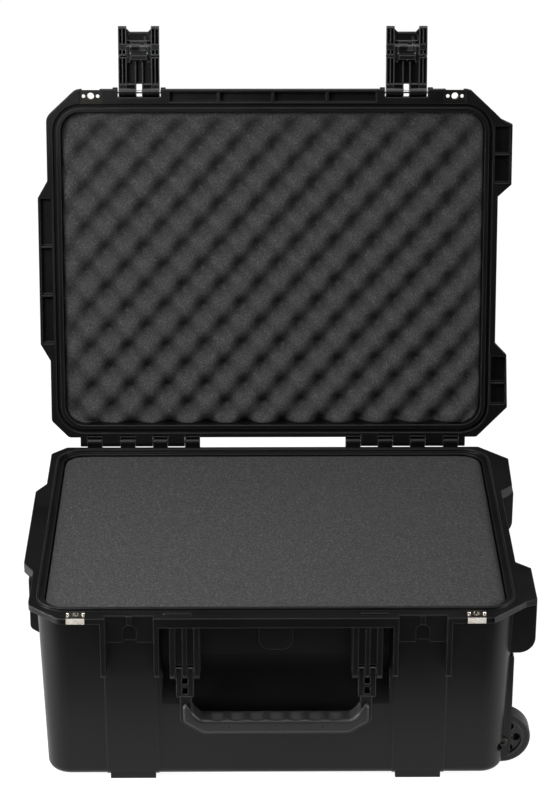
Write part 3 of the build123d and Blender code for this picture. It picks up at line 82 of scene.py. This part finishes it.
camera = bpy.data.objects.new("camera", bpy.data.cameras.new("camera"))
bpy.context.scene.collection.objects.link(camera)
camera.data.lens = LENS_MM
camera.data.sensor_width = SENSOR_MM
level = Matrix.Rotation(math.radians(90), 4, "X")
aim = Matrix.Rotation(TURN, 4, "Z") @ Matrix.Rotation(TIP_DOWN, 4, "X") @ Matrix.Rotation(ROLL, 4, "Y")
camera.matrix_world = Matrix.Translation(CAMERA_PLACE) @ aim @ level
bpy.context.scene.camera = camera
bpy.context.scene.view_settings.view_transform = "Standard"
print("camera to the foot of the case (m):", round(CAMERA_PLACE.length, 2))

# %% [markdown]
# ## Two helpers
#
# A maker picks colours as hex codes, but a shader works in linear light, so one helper turns the one into the
# other. A shader is a web of nodes, and making each node, setting it and linking it takes a line apiece. The
# other helper does all three at once, which keeps every material below short.


# %% Two small helpers: a colour and a node
def colour(hex_code):
    """An sRGB hex code as linear RGBA, which is what shader sockets want."""
    channels = [int(hex_code[i:i + 2], 16) / 255 for i in (1, 3, 5)]
    return [c / 12.92 if c <= 0.04045 else ((c + 0.055) / 1.055) ** 2.4 for c in channels] + [1.0]


def add(tree, kind, settings=(), links=()):
    """Adds a node. Settings are sockets or attributes by name or number; links are sockets to feed."""
    new = tree.nodes.new(kind)
    for key, value in dict(settings).items():
        if isinstance(key, str) and key not in new.inputs:
            setattr(new, key, value)
        else:
            new.inputs[key].default_value = value
    for key, source in dict(links).items():
        tree.links.new(source, new.inputs[key])
    return new


print("mid grey in linear light:", round(colour("#808080")[0], 3))

# %% [markdown]
# ## World
#
# Black goods are shown in a white room, yet a white room would light a black case until it looks grey. So the
# world is white only to the rays that see it directly, in a reflection or through glass. The rays that light
# the case meet a weaker world, at which a colour renders about as it is written.

# %% World
WORLD_LIGHT = 0.38        # what the room adds to every matte surface, where 1 is white

world = bpy.data.worlds.new("white_room")
bpy.context.scene.world = world
world.use_nodes = True
sky = world.node_tree
sky.nodes.clear()


def seen_or_mirrored(tree):
    """1 for the rays that see a thing directly, in a mirror or through glass; 0 for those that light it."""
    ray = add(tree, "ShaderNodeLightPath")
    direct = add(tree, "ShaderNodeMath", {"operation": "MAXIMUM"},
                 {0: ray.outputs["Is Camera Ray"], 1: ray.outputs["Is Glossy Ray"]})
    both = add(tree, "ShaderNodeMath", {"operation": "MAXIMUM"},
               {0: direct.outputs[0], 1: ray.outputs["Is Transmission Ray"]})
    return both.outputs[0]


soft = add(sky, "ShaderNodeBackground", {"Color": colour("#ffffff"), "Strength": WORLD_LIGHT})
white = add(sky, "ShaderNodeBackground", {"Color": colour("#ffffff"), "Strength": 1.0})
room = add(sky, "ShaderNodeMixShader",
           links={0: seen_or_mirrored(sky), 1: soft.outputs[0], 2: white.outputs[0]})
add(sky, "ShaderNodeOutputWorld", links={"Surface": room.outputs[0]})
print("world light:", WORLD_LIGHT, "and white to the eye")

# %% [markdown]
# ## Floor
#
# The floor is a sheet of matte white paper. Lamps strong enough to turn it white would overlight the case, so
# it glows white to the same rays as the world does. Part of its look stays the lit paper, and that part still
# takes the shadow of the case.

# %% Floor
FLOOR_HALF_M = 6.0
SHADOW_SHARE = 0.35       # how much of the floor's look is its lit surface, and so its shadow
FLOOR_GLOW = 1.45         # makes up for the lit share, which alone is under white


def level_sheet(x0, x1, y0, y1, z):
    """The corners of a rectangle that lies level."""
    return [(x0, y0, z), (x1, y0, z), (x1, y1, z), (x0, y1, z)]


def stage_sheet(name, corners, material):
    """A flat sheet of the studio, which is no part of the case."""
    mesh = bpy.data.meshes.new(name)
    mesh.from_pydata(corners, [], [(0, 1, 2, 3)])
    mesh.materials.append(material)
    sheet = bpy.data.objects.new(name, mesh)
    bpy.context.scene.collection.objects.link(sheet)
    return sheet


paper = bpy.data.materials.new("white_paper_sweep")
paper.use_nodes = True
tree = paper.node_tree
tree.nodes.clear()
matte = add(tree, "ShaderNodeBsdfDiffuse", {"Color": colour("#c8c8c8")})
glow = add(tree, "ShaderNodeEmission", {"Color": colour("#ffffff"), "Strength": FLOOR_GLOW})
share = add(tree, "ShaderNodeMath", {"operation": "MULTIPLY", 1: 1 - SHADOW_SHARE},
            {0: seen_or_mirrored(tree)})
sweep = add(tree, "ShaderNodeMixShader", links={0: share.outputs[0], 1: matte.outputs[0], 2: glow.outputs[0]})
add(tree, "ShaderNodeOutputMaterial", links={"Surface": sweep.outputs[0]})
stage_sheet("floor", level_sheet(-FLOOR_HALF_M, FLOOR_HALF_M, -FLOOR_HALF_M, FLOOR_HALF_M, z=0), paper)
print("floor (m):", 2 * FLOOR_HALF_M, "square")

# %% [markdown]
# ## Lamps
#
# A large lamp close by gives a soft shadow, and a small one a crisp shadow. One large lamp hangs overhead,
# and a long strip lights the front. A small one from the upper left rakes across the lid, so that every
# hollow of its foam has a shaded side. Two low ones graze the upright corners of the base, and their beams
# are narrow because light from below would flatten the foam.


# %% Lamps
def softbox(name, place, target, width, height, watts, spread=180):
    """A rectangular lamp that faces a point; spread is the whole angle of its beam, in degrees."""
    lamp = bpy.data.objects.new(name, bpy.data.lights.new(name, "AREA"))
    lamp.data.shape = "RECTANGLE"
    lamp.data.size, lamp.data.size_y = width, height
    lamp.data.energy = watts
    lamp.data.spread = math.radians(spread)
    lamp.visible_camera = False
    lamp.location = place
    lamp.rotation_euler = (Vector(target) - Vector(place)).to_track_quat("-Z", "Y").to_euler()
    bpy.context.scene.collection.objects.link(lamp)
    print(name, "lamp:", watts, "W")


softbox("overhead", (0.1, 0.1, 2.4), (0, 0.0, 0.3), width=1.2, height=0.9, watts=12)
softbox("front_strip", (0, -0.75, 1.55), (0, -0.35, 0.1), width=1.4, height=0.25, watts=5)
softbox("upper_left", (-0.62, -0.5, 1.1), (-0.1, 0.3, 0.5), width=0.35, height=0.35, watts=10)
softbox("low_right", (1.4, -0.5, 0.3), (0.1, -0.2, 0.1), width=0.3, height=0.6, watts=0.9, spread=40)
softbox("low_left", (-1.4, -0.5, 0.3), (-0.1, -0.2, 0.1), width=0.3, height=0.6, watts=1.8, spread=40)

# %% [markdown]
# ## Flags and cards
#
# Black plastic shows what stands round it, so in a white room it looks grey. In a studio, dark cloths called
# flags hang where the plastic would mirror the room. Three of them keep the upper half of the front wall, the
# rims and the flat tops dark, while the white floor close to the case still lights the foot of the wall. Two
# small white cards put a glint on the steel clips.


# %% Flags and cards
def cloth(name, hex_code):
    """A dull cloth of one colour."""
    material = bpy.data.materials.new(name)
    material.use_nodes = True
    material.node_tree.nodes.clear()
    dull = add(material.node_tree, "ShaderNodeBsdfDiffuse", {"Color": colour(hex_code)})
    add(material.node_tree, "ShaderNodeOutputMaterial", links={"Surface": dull.outputs[0]})
    return material


def upright_sheet(x0, x1, z0, z1, y):
    """The corners of a rectangle that hangs across the view."""
    return [(x0, y, z0), (x1, y, z0), (x1, y, z1), (x0, y, z1)]


def card(name, corners, material, only_mirrored=True):
    """A sheet that the camera doesn't see; it may be left out of everything but reflections."""
    sheet = stage_sheet(name, corners, material)
    sheet.visible_camera = False
    sheet.visible_diffuse = sheet.visible_shadow = sheet.visible_transmission = not only_mirrored
    print(name, "shows", "in reflections only" if only_mirrored else "to every ray but the camera's")


velvet = cloth("black_velvet", "#060606")
felt = cloth("grey_felt", "#5a5a5a")
card("flag_front", upright_sheet(-3.5, 3.5, 0, 3.6, y=-4.3), velvet, only_mirrored=False)
card("flag_back", upright_sheet(-3.5, 3.5, 0.6, 3.4, y=3.0), velvet)
card("flag_floor", level_sheet(-3.0, 3.0, -4.0, -0.37, z=0.004), felt)
card("white_left", level_sheet(-0.32, -0.18, -0.78, -0.58, z=0.008), paper)
card("white_right", level_sheet(0.19, 0.33, -0.78, -0.58, z=0.008), paper)

# %% [markdown]
# ## Shells, latches and handles
#
# Both shells are injection-moulded polypropylene, pigmented with carbon black. The mould was spark-eroded, so
# the surface has a fine dull grain that breaks a reflection into a soft grey sheen. One finish function makes
# that grain from noise, and its settings turn it into the smoother nylon of the latches and handles, into
# rubber and into a porous film. A Bevel node rounds the look of each sharp edge by up to two millimetres.
# Along
# the outer edges a paler colour is painted in, a painted highlight where a rounded edge would catch the
# light:
# rays sent into the plastic come out again only near such an edge, and that tells the shader where one is.
#
# Real grain is about a fifth of a millimetre across and would vanish at this size, so every grain here is
# drawn several times too coarse, at 0.6 to 1.6 mm.

# %% Moulded finish
EDGE_REACH_MM = 1.6                 # how far the painted highlight of an outer edge reaches into the face beside it
EDGE_START, EDGE_FULL = 0.95, 0.55  # the share of rays that stay inside where the painted edge highlight starts, and where it is full
BLOTCH_SCALE = 9.0                  # blotches of tint and gloss to the metre, so each is about 110 mm across
NOISE_LOW, NOISE_HIGH = 0.3, 0.7    # nearly all of a noise lies between these
GLOSS_SWING = 0.06                  # how much the roughness varies from one blotch to the next


def moulded(name, base, pale, line, roughness, specular, grain_mm, grain_depth_mm, edge_mm):
    """A moulded finish: base and pale are the tints of its blotches, line is the colour of the painted
    highlight on outer edges.
    """
    material = bpy.data.materials.new(name)
    material.use_nodes = True
    tree = material.node_tree
    shader = tree.nodes["Principled BSDF"]
    place = add(tree, "ShaderNodeTexCoord").outputs["Object"]
    grain = add(tree, "ShaderNodeTexNoise", {"Scale": 1000 / grain_mm, "Detail": 2.0}, {"Vector": place})
    flow = add(tree, "ShaderNodeTexNoise", {"Scale": BLOTCH_SCALE, "Detail": 3.0, "Roughness": 0.6},
               {"Vector": place})
    tint = add(tree, "ShaderNodeMix", {"data_type": "RGBA", 6: colour(base), 7: colour(pale)},
               {0: flow.outputs["Fac"]})
    # Painted highlight: near an outer edge the colour is mixed towards the paler line colour, as if the edge
    # caught the light.
    inward = add(tree, "ShaderNodeAmbientOcclusion", {"samples": 6, "inside": True, "only_local": True,
                                                      "Distance": EDGE_REACH_MM / 1000})
    painted_highlight_mask = add(tree, "ShaderNodeMapRange", {"From Min": EDGE_START, "From Max": EDGE_FULL},
                 {"Value": inward.outputs["AO"]})
    tint_with_painted_highlight = add(tree, "ShaderNodeMix", {"data_type": "RGBA", 7: colour(line)},
                {0: painted_highlight_mask.outputs[0], 6: tint.outputs[2]})
    gloss = add(tree, "ShaderNodeMapRange",
                {"From Min": NOISE_LOW, "From Max": NOISE_HIGH, "To Min": roughness - GLOSS_SWING,
                 "To Max": roughness + GLOSS_SWING}, {"Value": flow.outputs["Fac"]})
    edge = add(tree, "ShaderNodeBevel", {"samples": 4, "Radius": edge_mm / 1000})
    bump = add(tree, "ShaderNodeBump", {"Strength": 1.0, "Distance": grain_depth_mm / 1000},
               {"Height": grain.outputs["Fac"], "Normal": edge.outputs["Normal"]})
    shader.inputs["Specular IOR Level"].default_value = specular
    tree.links.new(tint_with_painted_highlight.outputs[2], shader.inputs["Base Color"])
    tree.links.new(gloss.outputs[0], shader.inputs["Roughness"])
    tree.links.new(bump.outputs["Normal"], shader.inputs["Normal"])
    return material


# %% Finishes from a mould
# The fourth colour of each finish is the painted highlight along its outer edges.
FINISH = {
    # Polypropylene from a spark-eroded mould: deep black and dull, with a soft sheen and a painted highlight
    # on its edges.
    "shell_polymer": moulded("moulded_polypropylene", "#050505", "#080808", "#1c1d1e", roughness=0.38,
                             specular=0.25, grain_mm=1.6, grain_depth_mm=0.04, edge_mm=2.0),
    # Glass-filled nylon from a smoother mould: ribs and edges catch a narrower, brighter light, and their
    # painted highlight is paler.
    "latch_nylon": moulded("moulded_glass_filled_nylon", "#050505", "#080808", "#38393b", roughness=0.3,
                           specular=0.4, grain_mm=1.2, grain_depth_mm=0.02, edge_mm=0.8),
    # Plain nylon, for handle frames, wheel hubs and the valve: much the same, with softer edges.
    "handle_nylon": moulded("moulded_nylon", "#050505", "#080808", "#333436", roughness=0.3,
                            specular=0.35, grain_mm=1.2, grain_depth_mm=0.02, edge_mm=1.0),
    # Neoprene seals: matt black that gives almost no glint.
    "gasket_rubber": moulded("moulded_neoprene", "#050505", "#080808", "#1a1a1a", roughness=0.5,
                             specular=0.1, grain_mm=1.0, grain_depth_mm=0.02, edge_mm=0.5),
    # Polyurethane tyres: charcoal, because rolling has scuffed them.
    "tyre_rubber": moulded("moulded_polyurethane_tyre", "#1e1e1e", "#272727", "#343434", roughness=0.5,
                           specular=0.25, grain_mm=1.4, grain_depth_mm=0.04, edge_mm=0.8),
    # Soft thermoplastic rubber on the handles: charcoal with a satin light along each finger rib, partly a
    # painted highlight on its edges.
    "grip_rubber": moulded("soft_thermoplastic_rubber", "#1d1d1d", "#242424", "#363636", roughness=0.42,
                           specular=0.36, grain_mm=0.9, grain_depth_mm=0.05, edge_mm=1.2),
    # Turned acetal bushes: off-white and smooth, as they come from the lathe.
    "acetal": moulded("turned_white_acetal", "#d8d8d4", "#e0e0dc", "#e0e0dc", roughness=0.35,
                      specular=0.5, grain_mm=1.2, grain_depth_mm=0.01, edge_mm=0.3),
    # The valve's porous film: chalk white and dull.
    "membrane": moulded("porous_white_film", "#e2e2e0", "#ececea", "#ececea", roughness=0.8,
                        specular=0.3, grain_mm=0.6, grain_depth_mm=0.01, edge_mm=0.2),
}
print("moulded finishes:", ", ".join(FINISH))

# %% [markdown]
# ## Metals
#
# The padlock clips are stainless strip, brushed along its length, so their reflection is drawn out in one
# direction. Pins are ground, bolts are blackened, and the pull handle is black anodised aluminium. Each is a
# metal in the shader, and only its colour, roughness and scratches change. Real scratches are about a tenth
# of a millimetre wide. They are drawn at 0.8 mm, because anything finer would vanish at this size.


# %% Metals
METAL_EDGE_MM = 0.3       # how far a Bevel node rounds the look of a metal edge
SCRATCH_SWING = 0.08      # how much the roughness varies from scratch to scratch
SCRATCH_MM = 0.8


def metal(name, base, roughness, stretch, depth_mm):
    """A scratched metal: stretch draws the scratches out along the axis whose number is small."""
    material = bpy.data.materials.new(name)
    material.use_nodes = True
    tree = material.node_tree
    shader = tree.nodes["Principled BSDF"]
    place = add(tree, "ShaderNodeTexCoord").outputs["Object"]
    along = add(tree, "ShaderNodeMapping", {"Scale": stretch}, {"Vector": place})
    scratch = add(tree, "ShaderNodeTexNoise", {"Scale": 1000 / SCRATCH_MM, "Detail": 3.0},
                  {"Vector": along.outputs[0]})
    gloss = add(tree, "ShaderNodeMapRange",
                {"From Min": NOISE_LOW, "From Max": NOISE_HIGH, "To Min": roughness - SCRATCH_SWING,
                 "To Max": roughness + SCRATCH_SWING}, {"Value": scratch.outputs["Fac"]})
    edge = add(tree, "ShaderNodeBevel", {"samples": 4, "Radius": METAL_EDGE_MM / 1000})
    bump = add(tree, "ShaderNodeBump", {"Strength": 1.0, "Distance": depth_mm / 1000},
               {"Height": scratch.outputs["Fac"], "Normal": edge.outputs["Normal"]})
    shader.inputs["Base Color"].default_value = colour(base)
    shader.inputs["Metallic"].default_value = 1.0
    tree.links.new(gloss.outputs[0], shader.inputs["Roughness"])
    tree.links.new(bump.outputs["Normal"], shader.inputs["Normal"])
    return material


METALS = {
    # Brushed stainless steel: bright and slightly warm, with its light drawn out sideways.
    "stainless": metal("brushed_stainless", "#d8d2c8", roughness=0.14, stretch=(0.15, 1, 1), depth_mm=0.01),
    # Ground stainless steel, for pins, screws and springs: a duller, even grey.
    "steel_pin": metal("ground_stainless", "#c4c2bd", roughness=0.3, stretch=(1, 1, 1), depth_mm=0.005),
    # Blackened steel, for axle bolts and padlock plates: nearly black, with a metal's sheen.
    "dark_steel": metal("blackened_steel", "#33322f", roughness=0.4, stretch=(1, 1, 1), depth_mm=0.01),
    # Black anodised aluminium tube: dark and silky, with faint drawing lines along each tube.
    "anodised_tube": metal("black_anodised_aluminium", "#2b2b2d", roughness=0.38, stretch=(1, 1, 0.1),
                           depth_mm=0.005),
}
FINISH.update(METALS)
print("metals:", ", ".join(METALS))

# %% [markdown]
# ## Foam
#
# Polyurethane foam is a froth of open cells, each a fraction of a millimetre across. Light sinks into the
# cells, so it looks dull and even, with a salt-and-pepper grain of cut cell walls. The real cells are about
# 0.5 mm; here they are drawn at 1.6 mm, because anything finer vanishes at this size.

# %% Foam finish
CELL_MM = 1.6
CELL_DEPTH_MM = 0.4
FROTH_SHARE = 0.7         # the froth's lumps are a little larger than its cells
CELL_DARK, CELL_MIDDLE, CELL_PALE = 0.30, 0.5, 0.72     # where each tint lies, from mid-cell to wall


def foam(name, base, dark, pale):
    """Open-cell foam: dark is the tint inside its cells, and pale that of their cut walls."""
    material = bpy.data.materials.new(name)
    material.use_nodes = True
    tree = material.node_tree
    shader = tree.nodes["Principled BSDF"]
    place = add(tree, "ShaderNodeTexCoord").outputs["Object"]
    cells = add(tree, "ShaderNodeTexVoronoi", {"Scale": 1000 / CELL_MM}, {"Vector": place})
    froth = add(tree, "ShaderNodeTexNoise", {"Scale": 1000 * FROTH_SHARE / CELL_MM, "Detail": 3.0},
                {"Vector": place})
    tone = add(tree, "ShaderNodeMix", {"data_type": "FLOAT", 0: 0.5},
               {2: cells.outputs["Distance"], 3: froth.outputs["Fac"]})
    speck = add(tree, "ShaderNodeValToRGB", links={"Fac": tone.outputs[0]})
    ramp = speck.color_ramp
    ramp.elements[0].position, ramp.elements[0].color = CELL_DARK, colour(dark)
    ramp.elements[1].position, ramp.elements[1].color = CELL_PALE, colour(pale)
    ramp.elements.new(CELL_MIDDLE).color = colour(base)
    bump = add(tree, "ShaderNodeBump", {"Strength": 0.7, "Distance": CELL_DEPTH_MM / 1000},
               {"Height": tone.outputs[0]})
    shader.inputs["Roughness"].default_value = 0.95
    shader.inputs["Specular IOR Level"].default_value = 0.1
    tree.links.new(speck.outputs["Color"], shader.inputs["Base Color"])
    tree.links.new(bump.outputs["Normal"], shader.inputs["Normal"])
    return material


FINISH["base_foam"] = foam("open_cell_foam_cut_flat", "#393939", "#2d2d2d", "#4b4b4b")
FINISH["lid_foam"] = foam("open_cell_foam_convoluted", "#3a3939", "#2d2c2c", "#4c4b4b")
print("finishes:", sorted(FINISH))

# %% [markdown]
# ## Finish and piece
#
# Each solid piece names the slot that its material comes from, so one loop can dress them all. It first
# clears away the plain material that the solid model came with.

# %% Give every solid piece its finish
for part in frame["record"]["subparts"]:
    mesh = nodes[part["node"]].data
    mesh.materials.clear()
    mesh.materials.append(FINISH[part["material_slot"]])
    for polygon in mesh.polygons:
        polygon.material_index = 0

# %% [markdown]
# ## Foam in the lid
#
# Convoluted foam is a slab squeezed between knobbed rollers while a blade splits it, which leaves rows of
# soft peaks and hollows like an egg tray. It could be sculpted, or displaced by a texture, but a product of
# two cosine waves has just that form and can be laid out to the millimetre. The mesh is a grid inside a
# rounded rectangle, pushed in by the wave, with plain sides and a plain back that is glued to the lid. A
# power makes the hollows narrower than the peaks. The wall of the lid props up the foam along three sides, so
# the wave is shallow there, and along the hinge it keeps its full height.


# %% A grid that fills a rounded rectangle
CORNER_ROWS = 10          # rows of points in the depth of each rounded corner


def rounded_rows(width, depth, radius, step):
    """Rows of (x, y) points, as many in each row, whose ends follow the rounded corners."""
    straight = depth / 2 - radius
    turns = [math.radians(90 * i / CORNER_ROWS) for i in range(CORNER_ROWS, 0, -1)]
    count = round(2 * straight / step)
    ys = [-straight - radius * math.sin(t) for t in turns]
    ys += [-straight + 2 * straight * i / count for i in range(count + 1)]
    ys += [straight + radius * math.sin(t) for t in reversed(turns)]
    columns = round(width / step)
    rows = []
    for y in ys:
        past = max(0.0, abs(y) - straight)
        half = width / 2 - radius + math.sqrt(max(0.0, radius ** 2 - past ** 2))
        rows.append([(half * (2 * i / columns - 1), y) for i in range(columns + 1)])
    return rows


def piece_from(name, points, faces):
    """A new smooth-shaded object from points and faces."""
    mesh = bpy.data.meshes.new(name)
    mesh.from_pydata(points, [], faces)
    mesh.validate()
    work = bmesh.new()
    work.from_mesh(mesh)
    bmesh.ops.recalc_face_normals(work, faces=work.faces)
    work.to_mesh(mesh)
    work.free()
    mesh.shade_smooth()
    new = bpy.data.objects.new(name, mesh)
    bpy.context.scene.collection.objects.link(new)
    return new


# %% Where the lid's foam lies while the lid is shut
hinge = next(j for j in frame["record"]["behaviour"]["joints"] if j["name"] == "lid_hinge")
pivot = Vector(hinge["pos_m"])
opened = math.radians(hinge["range_deg"][1])
swing = Matrix.Translation(pivot) @ Matrix.Rotation(-opened, 4, "X") @ Matrix.Translation(-pivot)
shut = [swing.inverted() @ v.co for v in nodes["lid_foam"].data.vertices]
low = Vector([min(p[i] for p in shut) for i in range(3)])
high = Vector([max(p[i] for p in shut) for i in range(3)])
print("lid foam, shut (mm):", [round(1000 * (b - a)) for a, b in zip(low, high)])

# %% The waved face
PEAKS_ACROSS_MM = 47.8    # from one peak to the next in its row, left to right
PEAKS_ALONG_MM = 50.2     # and front to back
START_MM = (32.4, -2.9)   # how far right and back of the middle a peak lies: the sheet is cut anywhere
SKEW = (-0.025, 0.033)    # the sheet is laid by hand, a degree or two off square, and stretches a little
HOLLOW_MM = 21.0          # from the highest peak down to the deepest hollow
NARROWING = 1.4           # above 1, a hollow is narrower than a peak
RIPPLE_SHARE = 0.1        # no two peaks are quite the same height
RIPPLE_SCALE = 30         # patches of higher and lower peaks to the metre
PROP_REACH_MM = 11.0      # how far in from the wall the foam is propped up
PROP_FLATTENS = 0.8       # the share of the wave that is lost right at the wall
PROP_LIFTS = 0.5          # and the share of its depth
ROUNDING_MM = 3.0         # how far every side is rounded over, down and inwards


def wave(x, y, edge, back):
    """Depth of the foam's face below its highest peak, in metres.

    edge is the distance to the nearest of three sides, where the wall of the lid props the foam up. back is
    the distance to the hinge side, where the foam hangs free.
    """
    phase_x = 2 * math.pi * (1000 * (x + SKEW[0] * y) - START_MM[0]) / PEAKS_ACROSS_MM
    phase_y = 2 * math.pi * (1000 * (y + SKEW[1] * x) - START_MM[1]) / PEAKS_ALONG_MM
    ripple = 1 + RIPPLE_SHARE * noise.noise(Vector((x * RIPPLE_SCALE, y * RIPPLE_SCALE, 0.5)))
    prop = math.exp(-edge / (PROP_REACH_MM / 1000))
    rounding = ROUNDING_MM / 1000 * math.exp(-min(edge, back) / (ROUNDING_MM / 1000))
    height = ripple * (1 - PROP_FLATTENS * prop) * math.cos(phase_x) * math.cos(phase_y)
    hollow = max(0.0, 0.5 - 0.5 * height)
    return HOLLOW_MM / 1000 * hollow ** NARROWING * (1 - PROP_LIFTS * prop) + rounding


# %% The lid's foam, made shut and swung open with the lid
LID_CORNER_MM = 24.0
GRID_STEP_MM = 2.6
BACK_NARROWER_MM = 4.0    # the glued back is this much narrower than the face, so the sides lean in


def lid_foam_piece(low, high):
    """The sheet of foam that fills the box from low to high, with its waved face down."""
    width, depth = high.x - low.x, high.y - low.y
    middle = (low + high) / 2
    rows = rounded_rows(width, depth, LID_CORNER_MM / 1000, GRID_STEP_MM / 1000)
    columns, last = len(rows[0]), len(rows) - 1
    points = []
    for row in rows:
        for x, y in row:
            edge = min(x - row[0][0], row[-1][0] - x, depth / 2 + y)
            points.append((middle.x + x, middle.y + y, low.z + wave(x, y, edge, depth / 2 - y)))

    def at(row, column):
        return row * columns + column

    faces = [(at(r, c), at(r, c + 1), at(r + 1, c + 1), at(r + 1, c))
             for r in range(last) for c in range(columns - 1)]
    rim = [at(0, c) for c in range(columns)]
    rim += [at(r, columns - 1) for r in range(1, last + 1)]
    rim += [at(last, c) for c in range(columns - 2, -1, -1)]
    rim += [at(r, 0) for r in range(last - 1, 0, -1)]
    shrink = 1 - BACK_NARROWER_MM / 1000 / width
    start, count = len(points), len(rim)
    for i in rim:
        x, y, _ = points[i]
        points.append((middle.x + (x - middle.x) * shrink, middle.y + (y - middle.y) * shrink, high.z))
    faces += [(rim[i], rim[(i + 1) % count], start + (i + 1) % count, start + i) for i in range(count)]
    faces.append(tuple(range(start + count - 1, start - 1, -1)))
    return piece_from("lid_foam_convoluted", points, faces)


lid_pad = lid_foam_piece(low, high)
lid_pad.data.transform(swing)
lid_pad.data.materials.append(FINISH["lid_foam"])
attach(lid_pad, "lid")
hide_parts("lid_foam")
print("lid foam faces:", len(lid_pad.data.polygons))

# %% [markdown]
# ## Foam in the base
#
# The base is filled with flat slabs, sawn from a block and cut out round the wheel housings and the handle's
# recess. A saw leaves straight sides, but foam gives a little, so no edge is truly sharp. Each slab starts
# from its solid, is remeshed into small even faces, and is then relaxed, which softens every edge. The top
# slab is the one that shows, so its faces are the smallest.


# %% Base foam slabs
def slab(name, node, voxel_mm):
    """A soft-edged slab that stands for a foam solid."""
    new = bpy.data.objects.new(name, nodes[node].data.copy())
    bpy.context.scene.collection.objects.link(new)
    remesh = new.modifiers.new("even_faces", "REMESH")
    remesh.mode, remesh.voxel_size = "VOXEL", voxel_mm / 1000
    relax = new.modifiers.new("soft_edges", "SMOOTH")
    relax.factor, relax.iterations = 0.5, 3
    relaxed = new.evaluated_get(bpy.context.evaluated_depsgraph_get())
    soft_mesh = bpy.data.meshes.new_from_object(relaxed)
    new.modifiers.clear()
    new.data = soft_mesh
    soft_mesh.materials.clear()
    soft_mesh.materials.append(FINISH["base_foam"])
    soft_mesh.shade_smooth()
    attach(new, "base")
    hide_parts(node)
    print(name, "faces:", len(soft_mesh.polygons))


for layer, voxel_mm in (("top", 4), ("middle", 6), ("bottom", 6)):
    slab("base_foam_slab_" + layer, "base_foam_" + layer, voxel_mm)
